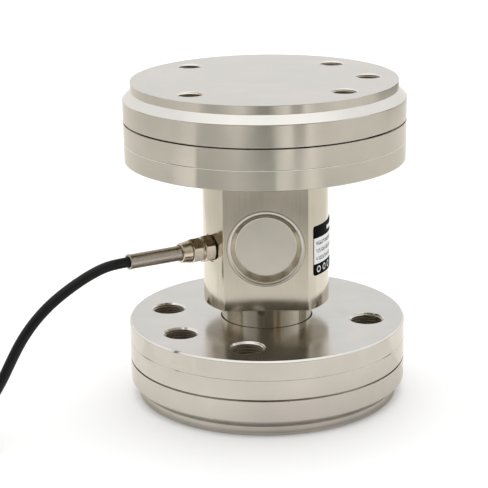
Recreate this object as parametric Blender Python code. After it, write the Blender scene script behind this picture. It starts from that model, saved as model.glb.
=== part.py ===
"""A column load cell: a turned column with gauge pockets between two drilled flanges.

Metres, +Z up. The origin lies on the column's axis, in the standing face of the lower load
plate. The milled flat with the front cover faces -Y, and the label is on the +X side.
"""

import math

import bmesh
import bpy
from mathutils import Matrix, Vector

# Flanges and load plates, the same pair at each end
FLANGE_DIA = 0.150
FLANGE_THICKNESS = 0.021
LOAD_PLATE_THICKNESS = 0.021
RAISED_FACE_HEIGHT = 0.0046
PLATE_CHAMFER = 0.0043
RIM_EDGE_BREAK = 0.0004
FACE_EDGE_BREAK = 0.0006
JOINT_GAP = 0.0003
CLEAR_HEIGHT = 0.0887

# The fine line on each flange's rim, where two turning cuts meet
RIM_LINE_DEPTH = 0.00015
RIM_LINE_WIDTH = 0.0005

# Four tapped holes on a circle and a fifth midway between two of them
BOLT_INSET = 0.020
HOLE_ANGLES = (0.0, 45.0, 135.0, 225.0, 315.0)
PLATE_HOLE_DIA = 0.0106
PLATE_HOLE_CHAMFER = 0.0018
FLANGE_HOLE_DIA = 0.0158
FLANGE_HOLE_CHAMFER = 0.0016
UPPER_END_TURN = 2.3
LOWER_END_TURN = 214.3

# Column: threaded end, neck, body with two milled flats, neck, threaded end
BODY_DIA = 0.068
BODY_EDGE_BREAK = 0.0006
FLAT_CUT_DEPTH = 0.0085
NECK_DIA = 0.049
NECK_LENGTH = 0.010
NECK_SEAT_DEPTH = 0.006
NECK_CLEARANCE = 0.0005
END_DIA = 0.040
END_REACH = 0.012
END_CLEARANCE = 0.0003
END_EDGE_BREAK = 0.001

# A gauge pocket behind each flat, and the pressed cover that closes it
WEB_THICKNESS = 0.008
COVER_OPENING_DIA = 0.0366
COVER_TAPER = 0.0019
COVER_RECESS = 0.0060
COVER_SHEET = 0.0009
COVER_LEDGE = 0.0011
COVER_SEAT_DEPTH = 0.0015
COVER_CLEARANCE = 0.0003
COVER_EDGE_BREAK = 0.0005
COVER_BEND = 0.0009

# Strain gauges, terminal boards and trimming resistors inside the pockets
GAUGE_LENGTH = 0.010
GAUGE_WIDTH = 0.006
GAUGE_THICKNESS = 0.0003
GAUGE_HEIGHT = 0.0055
AXIAL_GAUGE_ACROSS = -0.0055
CROSS_GAUGE_ACROSS = 0.0055
BOARD_WIDTH = 0.018
BOARD_DEPTH = 0.008
BOARD_THICKNESS = 0.0012
BOARD_DROP = 0.0085
PART_GAP = 0.0003
RESISTOR_DIA = 0.0024
RESISTOR_LENGTH = 0.0050
RESISTOR_OFFSETS = {"zero_resistor": -0.0035, "span_resistor": 0.0035}
LINK_HOLE_DIA = 0.0036
LINK_HOLE_SPACE = 0.0055
INNER_LEAD_DIA = 0.0009
INNER_LEAD_PITCH = 0.0014
INNER_LEAD_SPACING = 0.0028

# Gland on a spot face of the body's side, turned from -X toward the front
GLAND_DROP = 0.00135
GLAND_TURN = 30.0
GLAND_CLEARANCE = 0.0003
SPOT_FACE_DEPTH = 0.0008
SPOT_FACE_MARGIN = 0.0008
WASHER_DIA = 0.0150
WASHER_THICKNESS = 0.0009
SHANK_DIA = 0.0094
SHANK_TO_POCKET = 0.005
BODY_HEX_ACROSS = 0.013
BODY_HEX_LENGTH = 0.0052
GLAND_COLLAR_DIA = 0.0114
GLAND_COLLAR_LENGTH = 0.0010
GLAND_TUBE_DIA = 0.0080
GLAND_TUBE_LENGTH = 0.0032
SEAL_THICKNESS = 0.0009
NUT_HEX_ACROSS = 0.011
NUT_WALL = 0.0008
HEX_CHAMFER_SLOPE = 0.55
FERRULE_ROOT_DIA = 0.0118
FERRULE_TIP_DIA = 0.0098
FERRULE_LENGTH = 0.0056
FERRULE_EDGE_BREAK = 0.0005
SLEEVE_WALL = 0.0005
SLEEVE_TIP_WALL = 0.0003
SLEEVE_IN_FERRULE = 0.0035
SLEEVE_FREE_LENGTH = 0.0295
SLEEVE_RIM = 0.0004

# Label on the cylinder, centred on +X
LABEL_SIDE_MARGIN = 0.0038
LABEL_HEIGHT = 0.0270
LABEL_CORNER = 0.0020
LABEL_THICKNESS = 0.0002
LABEL_GAP = 0.0002
LABEL_DROP = 0.0025

# Cable: the route's points lie in the upright plane of the gland's axis
CABLE_DIA = 0.0055
CABLE_CLEARANCE = 0.00035
CABLE_POINT_SPACING = 0.012
CABLE_ROUTE = (
    (0.0310, 0.0850),
    (0.0480, 0.0850),
    (0.0660, 0.0850),
    (0.0820, 0.0850),
    (0.0935, 0.0845),
    (0.1020, 0.0823),
    (0.1105, 0.0788),
    (0.1190, 0.0744),
    (0.1265, 0.0697),
    (0.1330, 0.0645),
    (0.1390, 0.0585),
    (0.1445, 0.0515),
    (0.1495, 0.0435),
    (0.1545, 0.0350),
    (0.1605, 0.0265),
    (0.1680, 0.0185),
    (0.1770, 0.0115),
    (0.1870, 0.0066),
    (0.1970, 0.0046),
    (0.2070, 0.00415),
)

# Coil of the cable's spare length, with its strap and its stripped end
COIL_MEAN_DIA = 0.062
COIL_TURNS_ACROSS = 4
COIL_LAYERS = 4
COIL_BASE = 0.0014
COIL_TOP_TRIM = 0.0011
COIL_CORNER = 0.0030
STRAP_ANGLE = 60.0
STRAP_WIDTH = 0.010
STRAP_THICKNESS = 0.0010
STRAP_CORNER = 0.0035
TAIL_START = -62.0
TAIL_END = -162.0
LEAD_DIA = 0.0013
LEAD_LENGTH = 0.034
LEAD_FAN = 6.0
LEAD_PITCH = 0.0017

# Facets round a full turn, and the length by which a cutter passes a face
RIM_FACETS = 60
BODY_FACETS = 48
COVER_FACETS = 40
SMALL_FACETS = 20
HOLE_FACETS = 18
COIL_FACETS = 36
CURVE_STEPS = 12
OVERCUT = 0.002
WELD = 0.000001

STEEL = ((0.60, 0.585, 0.545), 0.26, 1.0)
PLATE_STEEL = ((0.66, 0.65, 0.62), 0.30, 1.0)
COVER_STEEL = ((0.58, 0.57, 0.53), 0.24, 1.0)
GLAND_BRASS = ((0.55, 0.53, 0.48), 0.28, 1.0)
RUBBER = ((0.02, 0.02, 0.02), 0.70, 0.0)
CABLE_JACKET = ((0.015, 0.015, 0.016), 0.45, 0.0)
LABEL_STOCK = ((0.88, 0.88, 0.88), 0.35, 0.0)
GAUGE_FOIL = ((0.72, 0.45, 0.16), 0.40, 0.0)
BOARD_GREEN = ((0.05, 0.22, 0.10), 0.50, 0.0)
RESISTOR_BODY = ((0.18, 0.30, 0.45), 0.45, 0.0)
STRAP_BLACK = ((0.03, 0.03, 0.03), 0.80, 0.0)
BARE_COPPER = ((0.80, 0.62, 0.45), 0.35, 1.0)
LEAD_COLOURS = {
    "lead_red": (0.60, 0.03, 0.02),
    "lead_green": (0.03, 0.30, 0.07),
    "lead_white": (0.80, 0.80, 0.78),
    "lead_black": (0.02, 0.02, 0.02),
}

# Heights of the stack, and distances from the column's axis
TOTAL_HEIGHT = 2 * (LOAD_PLATE_THICKNESS + FLANGE_THICKNESS) + CLEAR_HEIGHT
MID_HEIGHT = TOTAL_HEIGHT / 2
BODY_HEIGHT = CLEAR_HEIGHT - 2 * NECK_LENGTH
GLAND_HEIGHT = MID_HEIGHT - GLAND_DROP
BOLT_CIRCLE_RADIUS = FLANGE_DIA / 2 - BOLT_INSET
FLAT_OFFSET = BODY_DIA / 2 - FLAT_CUT_DEPTH
POCKET_DIA = COVER_OPENING_DIA + 2 * (COVER_SHEET + COVER_CLEARANCE)
COVER_SEAT_DIA = POCKET_DIA + 2 * COVER_LEDGE
LINK_HOLE_X = BOARD_WIDTH / 2 + LINK_HOLE_SPACE

# Gland pieces in order, outward from the column's axis along the gland's own axis
PASSAGE_DIA = CABLE_DIA + 2 * CABLE_CLEARANCE
PORT_DIA = SHANK_DIA + 2 * GLAND_CLEARANCE
PORT_START = POCKET_DIA / 2
SPOT_FACE_AT = BODY_DIA / 2 - SPOT_FACE_DEPTH
SHANK_AT = PORT_START + SHANK_TO_POCKET
WASHER_AT = SPOT_FACE_AT + GLAND_CLEARANCE
BODY_HEX_AT = WASHER_AT + WASHER_THICKNESS + GLAND_CLEARANCE
GLAND_COLLAR_AT = BODY_HEX_AT + BODY_HEX_LENGTH
GLAND_TUBE_AT = GLAND_COLLAR_AT + GLAND_COLLAR_LENGTH
NUT_AT = GLAND_TUBE_AT + GLAND_CLEARANCE
SEAL_AT = GLAND_TUBE_AT + GLAND_TUBE_LENGTH + GLAND_CLEARANCE
NUT_BORE_END = SEAL_AT + SEAL_THICKNESS + GLAND_CLEARANCE
NUT_END = NUT_BORE_END + NUT_WALL
NUT_BORE_DIA = GLAND_TUBE_DIA + 2 * GLAND_CLEARANCE
FERRULE_AT = NUT_END + GLAND_CLEARANCE
FERRULE_END = FERRULE_AT + FERRULE_LENGTH
SLEEVE_AT = FERRULE_END - SLEEVE_IN_FERRULE
SLEEVE_END = FERRULE_END + SLEEVE_FREE_LENGTH

# The coil of turns, each a cable's width from the next, in layers that lie in each other's dips
COIL_INNER_TURN = COIL_MEAN_DIA / 2 - (COIL_TURNS_ACROSS - 1) * CABLE_DIA / 2
COIL_OUTER_TURN = COIL_MEAN_DIA / 2 + (COIL_TURNS_ACROSS - 1) * CABLE_DIA / 2
COIL_BUNDLE_INNER = COIL_INNER_TURN - CABLE_DIA / 2
COIL_BUNDLE_OUTER = COIL_OUTER_TURN + CABLE_DIA / 2
COIL_LAYER_RISE = CABLE_DIA * math.sqrt(3) / 2
COIL_CREST = COIL_BASE + CABLE_DIA + (COIL_LAYERS - 1) * COIL_LAYER_RISE
COIL_TOP = COIL_CREST - COIL_TOP_TRIM


def clear_scene():
    for old in list(bpy.data.objects):
        bpy.data.objects.remove(old, do_unlink=True)


def finish_material(name, finish):
    """A Principled material from (colour, roughness, metallic)."""
    colour, roughness, metallic = finish
    material = bpy.data.materials.new(name)
    material.use_nodes = True
    shader = material.node_tree.nodes["Principled BSDF"]
    shader.inputs["Base Color"].default_value = (*colour, 1.0)
    shader.inputs["Roughness"].default_value = roughness
    shader.inputs["Metallic"].default_value = metallic
    return material


def add_object(name, data, finish, parent=None):
    data.materials.append(finish_material(name, finish))
    thing = bpy.data.objects.new(name, data)
    bpy.context.scene.collection.objects.link(thing)
    thing.parent = parent
    return thing


def mesh_from(name, bm, smooth=True):
    bmesh.ops.remove_doubles(bm, verts=bm.verts, dist=WELD)
    bmesh.ops.recalc_face_normals(bm, faces=bm.faces)
    mesh = bpy.data.meshes.new(name)
    bm.to_mesh(mesh)
    bm.free()
    if smooth:
        mesh.shade_smooth()
        mesh.set_sharp_from_angle(angle=math.radians(30))
    return mesh


def add_frame(name, location, axis, turn=0.0):
    """An empty whose +Z points along axis; for a level axis its +X points up."""
    upright = abs(axis.z) > 0.5
    x_axis = Vector((1, 0, 0)) if upright else Vector((0, 0, 1))
    y_axis = axis.cross(x_axis)
    basis = Matrix((x_axis, y_axis, axis)).transposed().to_4x4()
    empty = bpy.data.objects.new(name, None)
    empty.matrix_world = Matrix.Translation(location) @ Matrix.Rotation(turn, 4, "Z") @ basis
    bpy.context.scene.collection.objects.link(empty)
    return empty


def add_turned(bm, outline, facets, move=Matrix()):
    """Spin (radius, height) points round Z. A ring's outline, clear of the axis, closes on itself."""
    verts = [bm.verts.new((radius, 0.0, height)) for radius, height in outline]
    edges = [bm.edges.new(pair) for pair in zip(verts, verts[1:])]
    if outline[0][0] > 0.0:
        edges.append(bm.edges.new((verts[-1], verts[0])))
    before = set(bm.verts) - set(verts)
    bmesh.ops.spin(
        bm, geom=verts + edges, cent=(0, 0, 0), axis=(0, 0, 1), angle=math.tau, steps=facets, use_merge=True
    )
    made = [vert for vert in bm.verts if vert not in before]
    bmesh.ops.transform(bm, matrix=move, verts=made)


def turned(name, outline, finish, facets, parent=None):
    bm = bmesh.new()
    add_turned(bm, outline, facets)
    return add_object(name, mesh_from(name, bm), finish, parent)


def box(name, size, centre, finish, parent):
    bm = bmesh.new()
    bmesh.ops.create_cube(bm, size=1.0)
    bmesh.ops.scale(bm, vec=size, verts=bm.verts)
    bmesh.ops.translate(bm, vec=centre, verts=bm.verts)
    return add_object(name, mesh_from(name, bm, smooth=False), finish, parent)


def boolean(target, tool, operation):
    """Cut, join or trim target with a tool that stays out of the model."""
    tool.hide_render = True
    tool.display_type = "WIRE"
    modifier = target.modifiers.new(operation.lower(), "BOOLEAN")
    modifier.operation = operation
    modifier.solver = "EXACT"
    modifier.object = tool


def smooth_points(route, spacing):
    """Points a set distance apart on a smooth curve through the route's points."""
    route = [Vector(point) for point in route]
    ends = [2 * route[0] - route[1], 2 * route[-1] - route[-2]]
    guides = [ends[0]] + route + [ends[1]]
    fine = []
    for before, start, end, after in zip(guides, guides[1:], guides[2:], guides[3:]):
        for step in range(CURVE_STEPS):
            t = step / CURVE_STEPS
            fine.append(
                0.5
                * (
                    2 * start
                    + (end - before) * t
                    + (2 * before - 5 * start + 4 * end - after) * t**2
                    + (3 * start - before - 3 * end + after) * t**3
                )
            )
    fine.append(route[-1])
    lengths = [0.0]
    for first, second in zip(fine, fine[1:]):
        lengths.append(lengths[-1] + (second - first).length)
    count = max(2, round(lengths[-1] / spacing))
    points = []
    index = 0
    for number in range(count + 1):
        wanted = lengths[-1] * number / count
        while index < len(fine) - 2 and lengths[index + 1] < wanted:
            index += 1
        share = (wanted - lengths[index]) / (lengths[index + 1] - lengths[index])
        points.append(fine[index].lerp(fine[index + 1], min(share, 1.0)))
    return points


def tube(name, points, diameter, finish, roundness=2):
    """A filled tube of a set diameter along the points, with 4 + 2 * roundness sides."""
    curve = bpy.data.curves.new(name, "CURVE")
    curve.dimensions = "3D"
    curve.bevel_depth = diameter / 2
    curve.bevel_resolution = roundness
    curve.use_fill_caps = True
    curve.resolution_u = 1
    curve.render_resolution_u = 0
    spline = curve.splines.new("POLY")
    spline.points.add(len(points) - 1)
    for slot, point in zip(spline.points, points):
        slot.co = (*point, 1.0)
    return add_object(name, curve, finish)


def load_plate_outline():
    """Half section of a load plate: z = 0 is the joint with the flange, +z is outward."""
    rim = FLANGE_DIA / 2
    face = rim - PLATE_CHAMFER
    top = LOAD_PLATE_THICKNESS
    bore = END_DIA / 2 + END_CLEARANCE
    bore_end = JOINT_GAP + END_REACH + END_CLEARANCE
    return (
        (0.0, top),
        (face - RIM_EDGE_BREAK, top),
        (face, top - RIM_EDGE_BREAK),
        (face, top - RAISED_FACE_HEIGHT),
        (rim, top - RAISED_FACE_HEIGHT - PLATE_CHAMFER),
        (rim, JOINT_GAP + RIM_EDGE_BREAK),
        (rim - RIM_EDGE_BREAK, JOINT_GAP),
        (bore, JOINT_GAP),
        (bore, bore_end),
        (0.0, bore_end),
    )


def flange_outline():
    """Half section of a flange: z = 0 is the joint with the load plate, -z is toward the column."""
    rim = FLANGE_DIA / 2
    inner_face = -FLANGE_THICKNESS
    line = -FLANGE_THICKNESS / 2
    seat = NECK_DIA / 2 + NECK_CLEARANCE
    bore = END_DIA / 2 + END_CLEARANCE
    return (
        (bore, 0.0),
        (rim - RIM_EDGE_BREAK, 0.0),
        (rim, -RIM_EDGE_BREAK),
        (rim, line + RIM_LINE_WIDTH / 2),
        (rim - RIM_LINE_DEPTH, line),
        (rim, line - RIM_LINE_WIDTH / 2),
        (rim, inner_face + FACE_EDGE_BREAK),
        (rim - FACE_EDGE_BREAK, inner_face),
        (seat, inner_face),
        (seat, inner_face + NECK_SEAT_DEPTH),
        (bore, inner_face + NECK_SEAT_DEPTH),
    )


def hole_cutter(name, bore, chamfer, mouth_z, far_z, parent):
    """The pattern of tapped holes, each with a 45 degree chamfer where it opens at mouth_z."""
    outward = 1.0 if mouth_z > far_z else -1.0
    outline = [
        (0.0, mouth_z + outward * OVERCUT),
        (bore / 2 + chamfer + OVERCUT, mouth_z + outward * OVERCUT),
        (bore / 2, mouth_z - outward * chamfer),
        (bore / 2, far_z - outward * OVERCUT),
        (0.0, far_z - outward * OVERCUT),
    ]
    bm = bmesh.new()
    for angle in HOLE_ANGLES:
        place = Matrix.Rotation(math.radians(angle), 4, "Z")
        shift = Matrix.Translation((BOLT_CIRCLE_RADIUS, 0, 0))
        add_turned(bm, outline, HOLE_FACETS, place @ shift)
    return add_object(name, mesh_from(name, bm), PLATE_STEEL, parent)


def make_end(side, joint_height, axis, turn):
    """One flange and its load plate, drilled with the same pattern."""
    frame = add_frame(f"{side}_end", Vector((0, 0, joint_height)), axis, math.radians(turn))
    plate = turned(f"{side}_load_plate", load_plate_outline(), PLATE_STEEL, RIM_FACETS, frame)
    plate_holes = hole_cutter(
        f"{side}_plate_holes", PLATE_HOLE_DIA, PLATE_HOLE_CHAMFER, LOAD_PLATE_THICKNESS, 0.0, frame
    )
    boolean(plate, plate_holes, "DIFFERENCE")
    flange = turned(f"{side}_flange", flange_outline(), STEEL, RIM_FACETS, frame)
    flange_holes = hole_cutter(
        f"{side}_flange_holes", FLANGE_HOLE_DIA, FLANGE_HOLE_CHAMFER, -FLANGE_THICKNESS, 0.0, frame
    )
    boolean(flange, flange_holes, "DIFFERENCE")


def column_outline():
    """Half section of the column about its middle, from the top end down."""
    joint = MID_HEIGHT - LOAD_PLATE_THICKNESS
    end = joint + JOINT_GAP + END_REACH
    shoulder = joint - FLANGE_THICKNESS + NECK_SEAT_DEPTH - END_CLEARANCE
    upper = [
        (0.0, end),
        (END_DIA / 2 - END_EDGE_BREAK, end),
        (END_DIA / 2, end - END_EDGE_BREAK),
        (END_DIA / 2, shoulder),
        (NECK_DIA / 2, shoulder),
        (NECK_DIA / 2, BODY_HEIGHT / 2),
        (BODY_DIA / 2 - BODY_EDGE_BREAK, BODY_HEIGHT / 2),
        (BODY_DIA / 2, BODY_HEIGHT / 2 - BODY_EDGE_BREAK),
    ]
    return upper + [(radius, -height) for radius, height in reversed(upper)]


def pocket_outline():
    """Half section of a gauge pocket: z is measured outward from the column's axis."""
    seat_floor = FLAT_OFFSET - COVER_SEAT_DEPTH
    return (
        (0.0, FLAT_OFFSET + OVERCUT),
        (COVER_SEAT_DIA / 2, FLAT_OFFSET + OVERCUT),
        (COVER_SEAT_DIA / 2, seat_floor),
        (POCKET_DIA / 2, seat_floor),
        (POCKET_DIA / 2, WEB_THICKNESS / 2),
        (0.0, WEB_THICKNESS / 2),
    )


def port_outline():
    """Half section of the gland's port with its spot face."""
    mouth = BODY_DIA / 2 + OVERCUT
    spot_face = WASHER_DIA / 2 + SPOT_FACE_MARGIN
    return (
        (0.0, mouth),
        (spot_face, mouth),
        (spot_face, SPOT_FACE_AT),
        (PORT_DIA / 2, SPOT_FACE_AT),
        (PORT_DIA / 2, PORT_START),
        (0.0, PORT_START),
    )


def make_column(front, rear, gland):
    column = turned("column", column_outline(), STEEL, BODY_FACETS)
    column.location.z = MID_HEIGHT
    cut_depth = BODY_DIA / 2 - FLAT_OFFSET + OVERCUT
    for name, frame in (("front", front), ("rear", rear)):
        centre = (0.0, 0.0, FLAT_OFFSET + cut_depth / 2)
        size = (BODY_HEIGHT + 2 * OVERCUT, BODY_DIA, cut_depth)
        flat = box(f"{name}_flat_cut", size, centre, STEEL, frame)
        boolean(column, flat, "DIFFERENCE")
        pocket = turned(f"{name}_pocket_cut", pocket_outline(), STEEL, COVER_FACETS, frame)
        boolean(column, pocket, "DIFFERENCE")
    port = turned("gland_port_cut", port_outline(), STEEL, SMALL_FACETS, gland)
    boolean(column, port, "DIFFERENCE")
    link_outline = (
        (0.0, WEB_THICKNESS),
        (LINK_HOLE_DIA / 2, WEB_THICKNESS),
        (LINK_HOLE_DIA / 2, -WEB_THICKNESS),
        (0.0, -WEB_THICKNESS),
    )
    link = turned("link_hole_cut", link_outline, STEEL, HOLE_FACETS, front)
    link.location = (-BOARD_DROP, -LINK_HOLE_X, 0.0)
    boolean(column, link, "DIFFERENCE")


def rounded_corner(centre, radius, start, end, steps=3):
    """Points of an arc, by angles in degrees, round a (radius, height) centre."""
    points = []
    for step in range(steps + 1):
        angle = math.radians(start + (end - start) * step / steps)
        points.append((centre[0] + radius * math.cos(angle), centre[1] + radius * math.sin(angle)))
    return points


def cover_outline():
    """Half section of a pressed cover: z = 0 is the column's flat, and the recess goes to -z."""
    lip = COVER_SEAT_DIA / 2 - COVER_CLEARANCE
    opening = COVER_OPENING_DIA / 2
    floor = opening - COVER_TAPER
    lip_bottom = -COVER_SEAT_DEPTH + COVER_CLEARANCE
    return (
        (0.0, -COVER_RECESS),
        (floor - COVER_BEND, -COVER_RECESS),
        (floor, -COVER_RECESS + COVER_BEND),
        (opening, -COVER_EDGE_BREAK),
        (opening + COVER_EDGE_BREAK, 0.0),
        (lip, 0.0),
        (lip, lip_bottom),
        (opening + COVER_SHEET, lip_bottom),
        (floor + COVER_SHEET, -COVER_RECESS),
        (floor, -COVER_RECESS - COVER_SHEET),
        (0.0, -COVER_RECESS - COVER_SHEET),
    )


def make_pocket_pieces(side, frame):
    """The cover, and what sits on the web behind it. In this frame +X is up and +Z is outward."""
    cover = turned(f"{side}_cover", cover_outline(), COVER_STEEL, COVER_FACETS, frame)
    cover.location.z = FLAT_OFFSET
    on_web = WEB_THICKNESS / 2 + PART_GAP
    gauge_z = on_web + GAUGE_THICKNESS / 2
    tall = (GAUGE_LENGTH, GAUGE_WIDTH, GAUGE_THICKNESS)
    wide = (GAUGE_WIDTH, GAUGE_LENGTH, GAUGE_THICKNESS)
    box(f"{side}_axial_gauge", tall, (GAUGE_HEIGHT, AXIAL_GAUGE_ACROSS, gauge_z), GAUGE_FOIL, frame)
    box(f"{side}_cross_gauge", wide, (GAUGE_HEIGHT, CROSS_GAUGE_ACROSS, gauge_z), GAUGE_FOIL, frame)
    board_size = (BOARD_DEPTH, BOARD_WIDTH, BOARD_THICKNESS)
    board_centre = (-BOARD_DROP, 0.0, on_web + BOARD_THICKNESS / 2)
    box(f"{side}_terminal_board", board_size, board_centre, BOARD_GREEN, frame)


def make_resistors(frame):
    """Two wound trimming resistors that lie on the front board, level."""
    above_web = WEB_THICKNESS / 2 + PART_GAP + BOARD_THICKNESS + PART_GAP + RESISTOR_DIA / 2
    flange = RESISTOR_DIA / 2
    waist = flange * 0.8
    half = RESISTOR_LENGTH / 2
    lip = half * 0.8
    outline = (
        (0.0, half),
        (flange, half),
        (flange, lip),
        (waist, lip),
        (waist, -lip),
        (flange, -lip),
        (flange, -half),
        (0.0, -half),
    )
    for name, across in RESISTOR_OFFSETS.items():
        resistor = turned(name, outline, RESISTOR_BODY, 12, frame)
        resistor.rotation_euler.x = math.radians(90)
        resistor.location = (-BOARD_DROP, across, above_web)


def hexagon_bar(name, across, start, end, parent):
    """A hexagon bar along Z with a corner at the top and its corners rounded off at both ends."""
    corner = across / math.sqrt(3)
    length = end - start
    bm = bmesh.new()
    bmesh.ops.create_cone(
        bm, cap_ends=True, segments=6, radius1=corner, radius2=corner, depth=length + 2 * OVERCUT
    )
    bmesh.ops.rotate(bm, cent=(0, 0, 0), matrix=Matrix.Rotation(math.radians(30), 3, "Z"), verts=bm.verts)
    bmesh.ops.translate(bm, vec=(0, 0, (start + end) / 2), verts=bm.verts)
    bar = add_object(name, mesh_from(name, bm, smooth=False), GLAND_BRASS, parent)
    flat = across / 2
    reach = corner + OVERCUT
    drop = (reach - flat) * HEX_CHAMFER_SLOPE
    envelope = (
        (0.0, end),
        (flat, end),
        (reach, end - drop),
        (reach, start + drop),
        (flat, start),
        (0.0, start),
    )
    boolean(bar, turned(f"{name}_envelope", envelope, GLAND_BRASS, SMALL_FACETS, parent), "INTERSECT")
    return bar


def bore_cut(name, steps, parent):
    """A stepped bore from (radius, end) pairs, inner end first."""
    outline = [(0.0, steps[0][1])]
    for (radius, _), (_, start), (_, end) in zip(steps[1:], steps, steps[1:]):
        outline += [(radius, start), (radius, end)]
    outline.append((0.0, steps[-1][1]))
    return turned(name, outline[::-1], GLAND_BRASS, SMALL_FACETS, parent)


def ring(name, inner, outer, start, thickness, finish, parent):
    end = start + thickness
    outline = ((inner, start), (outer, start), (outer, end), (inner, end))
    return turned(name, outline, finish, SMALL_FACETS, parent)


def make_gland_body(frame):
    """A hexagon between a threaded shank and a collar, with the nut's tube in front."""
    passage = PASSAGE_DIA / 2
    tube_end = GLAND_TUBE_AT + GLAND_TUBE_LENGTH
    inside_hexagon = BODY_HEX_AT + BODY_HEX_LENGTH / 2
    outline = (
        (passage, tube_end),
        (GLAND_TUBE_DIA / 2, tube_end),
        (GLAND_TUBE_DIA / 2, GLAND_TUBE_AT),
        (GLAND_COLLAR_DIA / 2, GLAND_TUBE_AT),
        (GLAND_COLLAR_DIA / 2, inside_hexagon),
        (SHANK_DIA / 2, inside_hexagon),
        (SHANK_DIA / 2, SHANK_AT),
        (passage, SHANK_AT),
    )
    body = turned("gland_body", outline, GLAND_BRASS, SMALL_FACETS, frame)
    bar = hexagon_bar("body_hexagon", BODY_HEX_ACROSS, BODY_HEX_AT, GLAND_COLLAR_AT, frame)
    steps = ((0.0, BODY_HEX_AT - OVERCUT), (passage, GLAND_COLLAR_AT + OVERCUT))
    boolean(bar, bore_cut("body_hexagon_cut", steps, frame), "DIFFERENCE")
    boolean(body, bar, "UNION")
    bar.hide_render = True


def make_gland_nut(frame):
    nut = hexagon_bar("gland_nut", NUT_HEX_ACROSS, NUT_AT, NUT_END, frame)
    steps = (
        (0.0, NUT_AT - OVERCUT),
        (NUT_BORE_DIA / 2, NUT_BORE_END),
        (PASSAGE_DIA / 2, NUT_END + OVERCUT),
    )
    boolean(nut, bore_cut("nut_bore_cut", steps, frame), "DIFFERENCE")


def make_sleeve(frame):
    """The tapered ferrule, and the tube that it holds round the cable's first stretch."""
    passage = PASSAGE_DIA / 2
    outer = passage + SLEEVE_WALL
    socket = outer + GLAND_CLEARANCE
    socket_floor = SLEEVE_AT - GLAND_CLEARANCE
    ferrule = (
        (passage, FERRULE_AT),
        (FERRULE_ROOT_DIA / 2 - FERRULE_EDGE_BREAK, FERRULE_AT),
        (FERRULE_ROOT_DIA / 2, FERRULE_AT + FERRULE_EDGE_BREAK),
        (FERRULE_TIP_DIA / 2, FERRULE_END - FERRULE_EDGE_BREAK),
        (FERRULE_TIP_DIA / 2 - FERRULE_EDGE_BREAK, FERRULE_END),
        (socket, FERRULE_END),
        (socket, socket_floor),
        (passage, socket_floor),
    )
    turned("sleeve_ferrule", ferrule, GLAND_BRASS, SMALL_FACETS, frame)
    tip = passage + SLEEVE_TIP_WALL
    sleeve = (
        (passage, SLEEVE_AT),
        (outer, SLEEVE_AT),
        (outer, FERRULE_END),
        (tip, SLEEVE_END - 3 * SLEEVE_RIM),
        (tip + SLEEVE_RIM / 2, SLEEVE_END - 2 * SLEEVE_RIM),
        (tip + SLEEVE_RIM / 2, SLEEVE_END - SLEEVE_RIM),
        (tip, SLEEVE_END),
        (passage, SLEEVE_END),
    )
    turned("cable_sleeve", sleeve, COVER_STEEL, SMALL_FACETS, frame)


def make_gland(frame):
    passage = PASSAGE_DIA / 2
    ring("gland_washer", PORT_DIA / 2, WASHER_DIA / 2, WASHER_AT, WASHER_THICKNESS, RUBBER, frame)
    make_gland_body(frame)
    seal_outer = NUT_BORE_DIA / 2 - GLAND_CLEARANCE
    ring("gland_seal", passage, seal_outer, SEAL_AT, SEAL_THICKNESS, RUBBER, frame)
    make_gland_nut(frame)
    make_sleeve(frame)


def make_label():
    """A thin sheet bent round the body; its corners are cut to quarter circles."""
    radius = BODY_DIA / 2 + LABEL_GAP
    side_half_angle = math.asin(FLAT_OFFSET / (BODY_DIA / 2))
    half_arc = side_half_angle * radius - LABEL_SIDE_MARGIN
    inner = half_arc - LABEL_CORNER
    edge = [inner + LABEL_CORNER * share for share in (0.0, 0.5, 0.85, 1.0)]
    middle_steps = 12
    middle = [-inner + 2 * inner * step / middle_steps for step in range(1, middle_steps)]
    columns = sorted([-place for place in edge] + middle + edge)
    bm = bmesh.new()
    rows = []
    for place in columns:
        into_corner = max(0.0, abs(place) - inner)
        lost = LABEL_CORNER - math.sqrt(max(LABEL_CORNER**2 - into_corner**2, 0.0))
        half_height = LABEL_HEIGHT / 2 - lost
        angle = place / radius
        x, y = radius * math.cos(angle), radius * math.sin(angle)
        rows.append([bm.verts.new((x, y, height)) for height in (-half_height, half_height)])
    for (low, high), (next_low, next_high) in zip(rows, rows[1:]):
        bm.faces.new((low, next_low, next_high, high))
    label = add_object("label", mesh_from("label", bm), LABEL_STOCK)
    label.location.z = MID_HEIGHT - LABEL_DROP
    solidify = label.modifiers.new("thickness", "SOLIDIFY")
    solidify.thickness = LABEL_THICKNESS
    solidify.offset = 1.0


def gland_direction():
    angle = math.radians(180 + GLAND_TURN)
    return Vector((math.cos(angle), math.sin(angle), 0.0))


def coil_centre():
    """The outermost turn leaves the route's last point straight on and bends to the right."""
    direction = gland_direction()
    to_the_right = Vector((direction.y, -direction.x, 0.0))
    distance, _ = CABLE_ROUTE[-1]
    return direction * distance + to_the_right * COIL_OUTER_TURN


def make_cable():
    """The uncoiled stretch, which stops where it would meet the coil's side."""
    direction = gland_direction()
    route = [direction * distance + Vector((0, 0, height)) for distance, height in CABLE_ROUTE]
    reach = COIL_BUNDLE_OUTER + CABLE_DIA / 2 + PART_GAP
    centre = coil_centre()
    free = [point for point in smooth_points(route, PART_GAP) if (point.xy - centre.xy).length > reach]
    count = round(len(free) * PART_GAP / CABLE_POINT_SPACING)
    last = len(free) - 1
    points = [free[round(last * number / count)] for number in range(count + 1)]
    tube("cable", points, CABLE_DIA, CABLE_JACKET)


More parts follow.
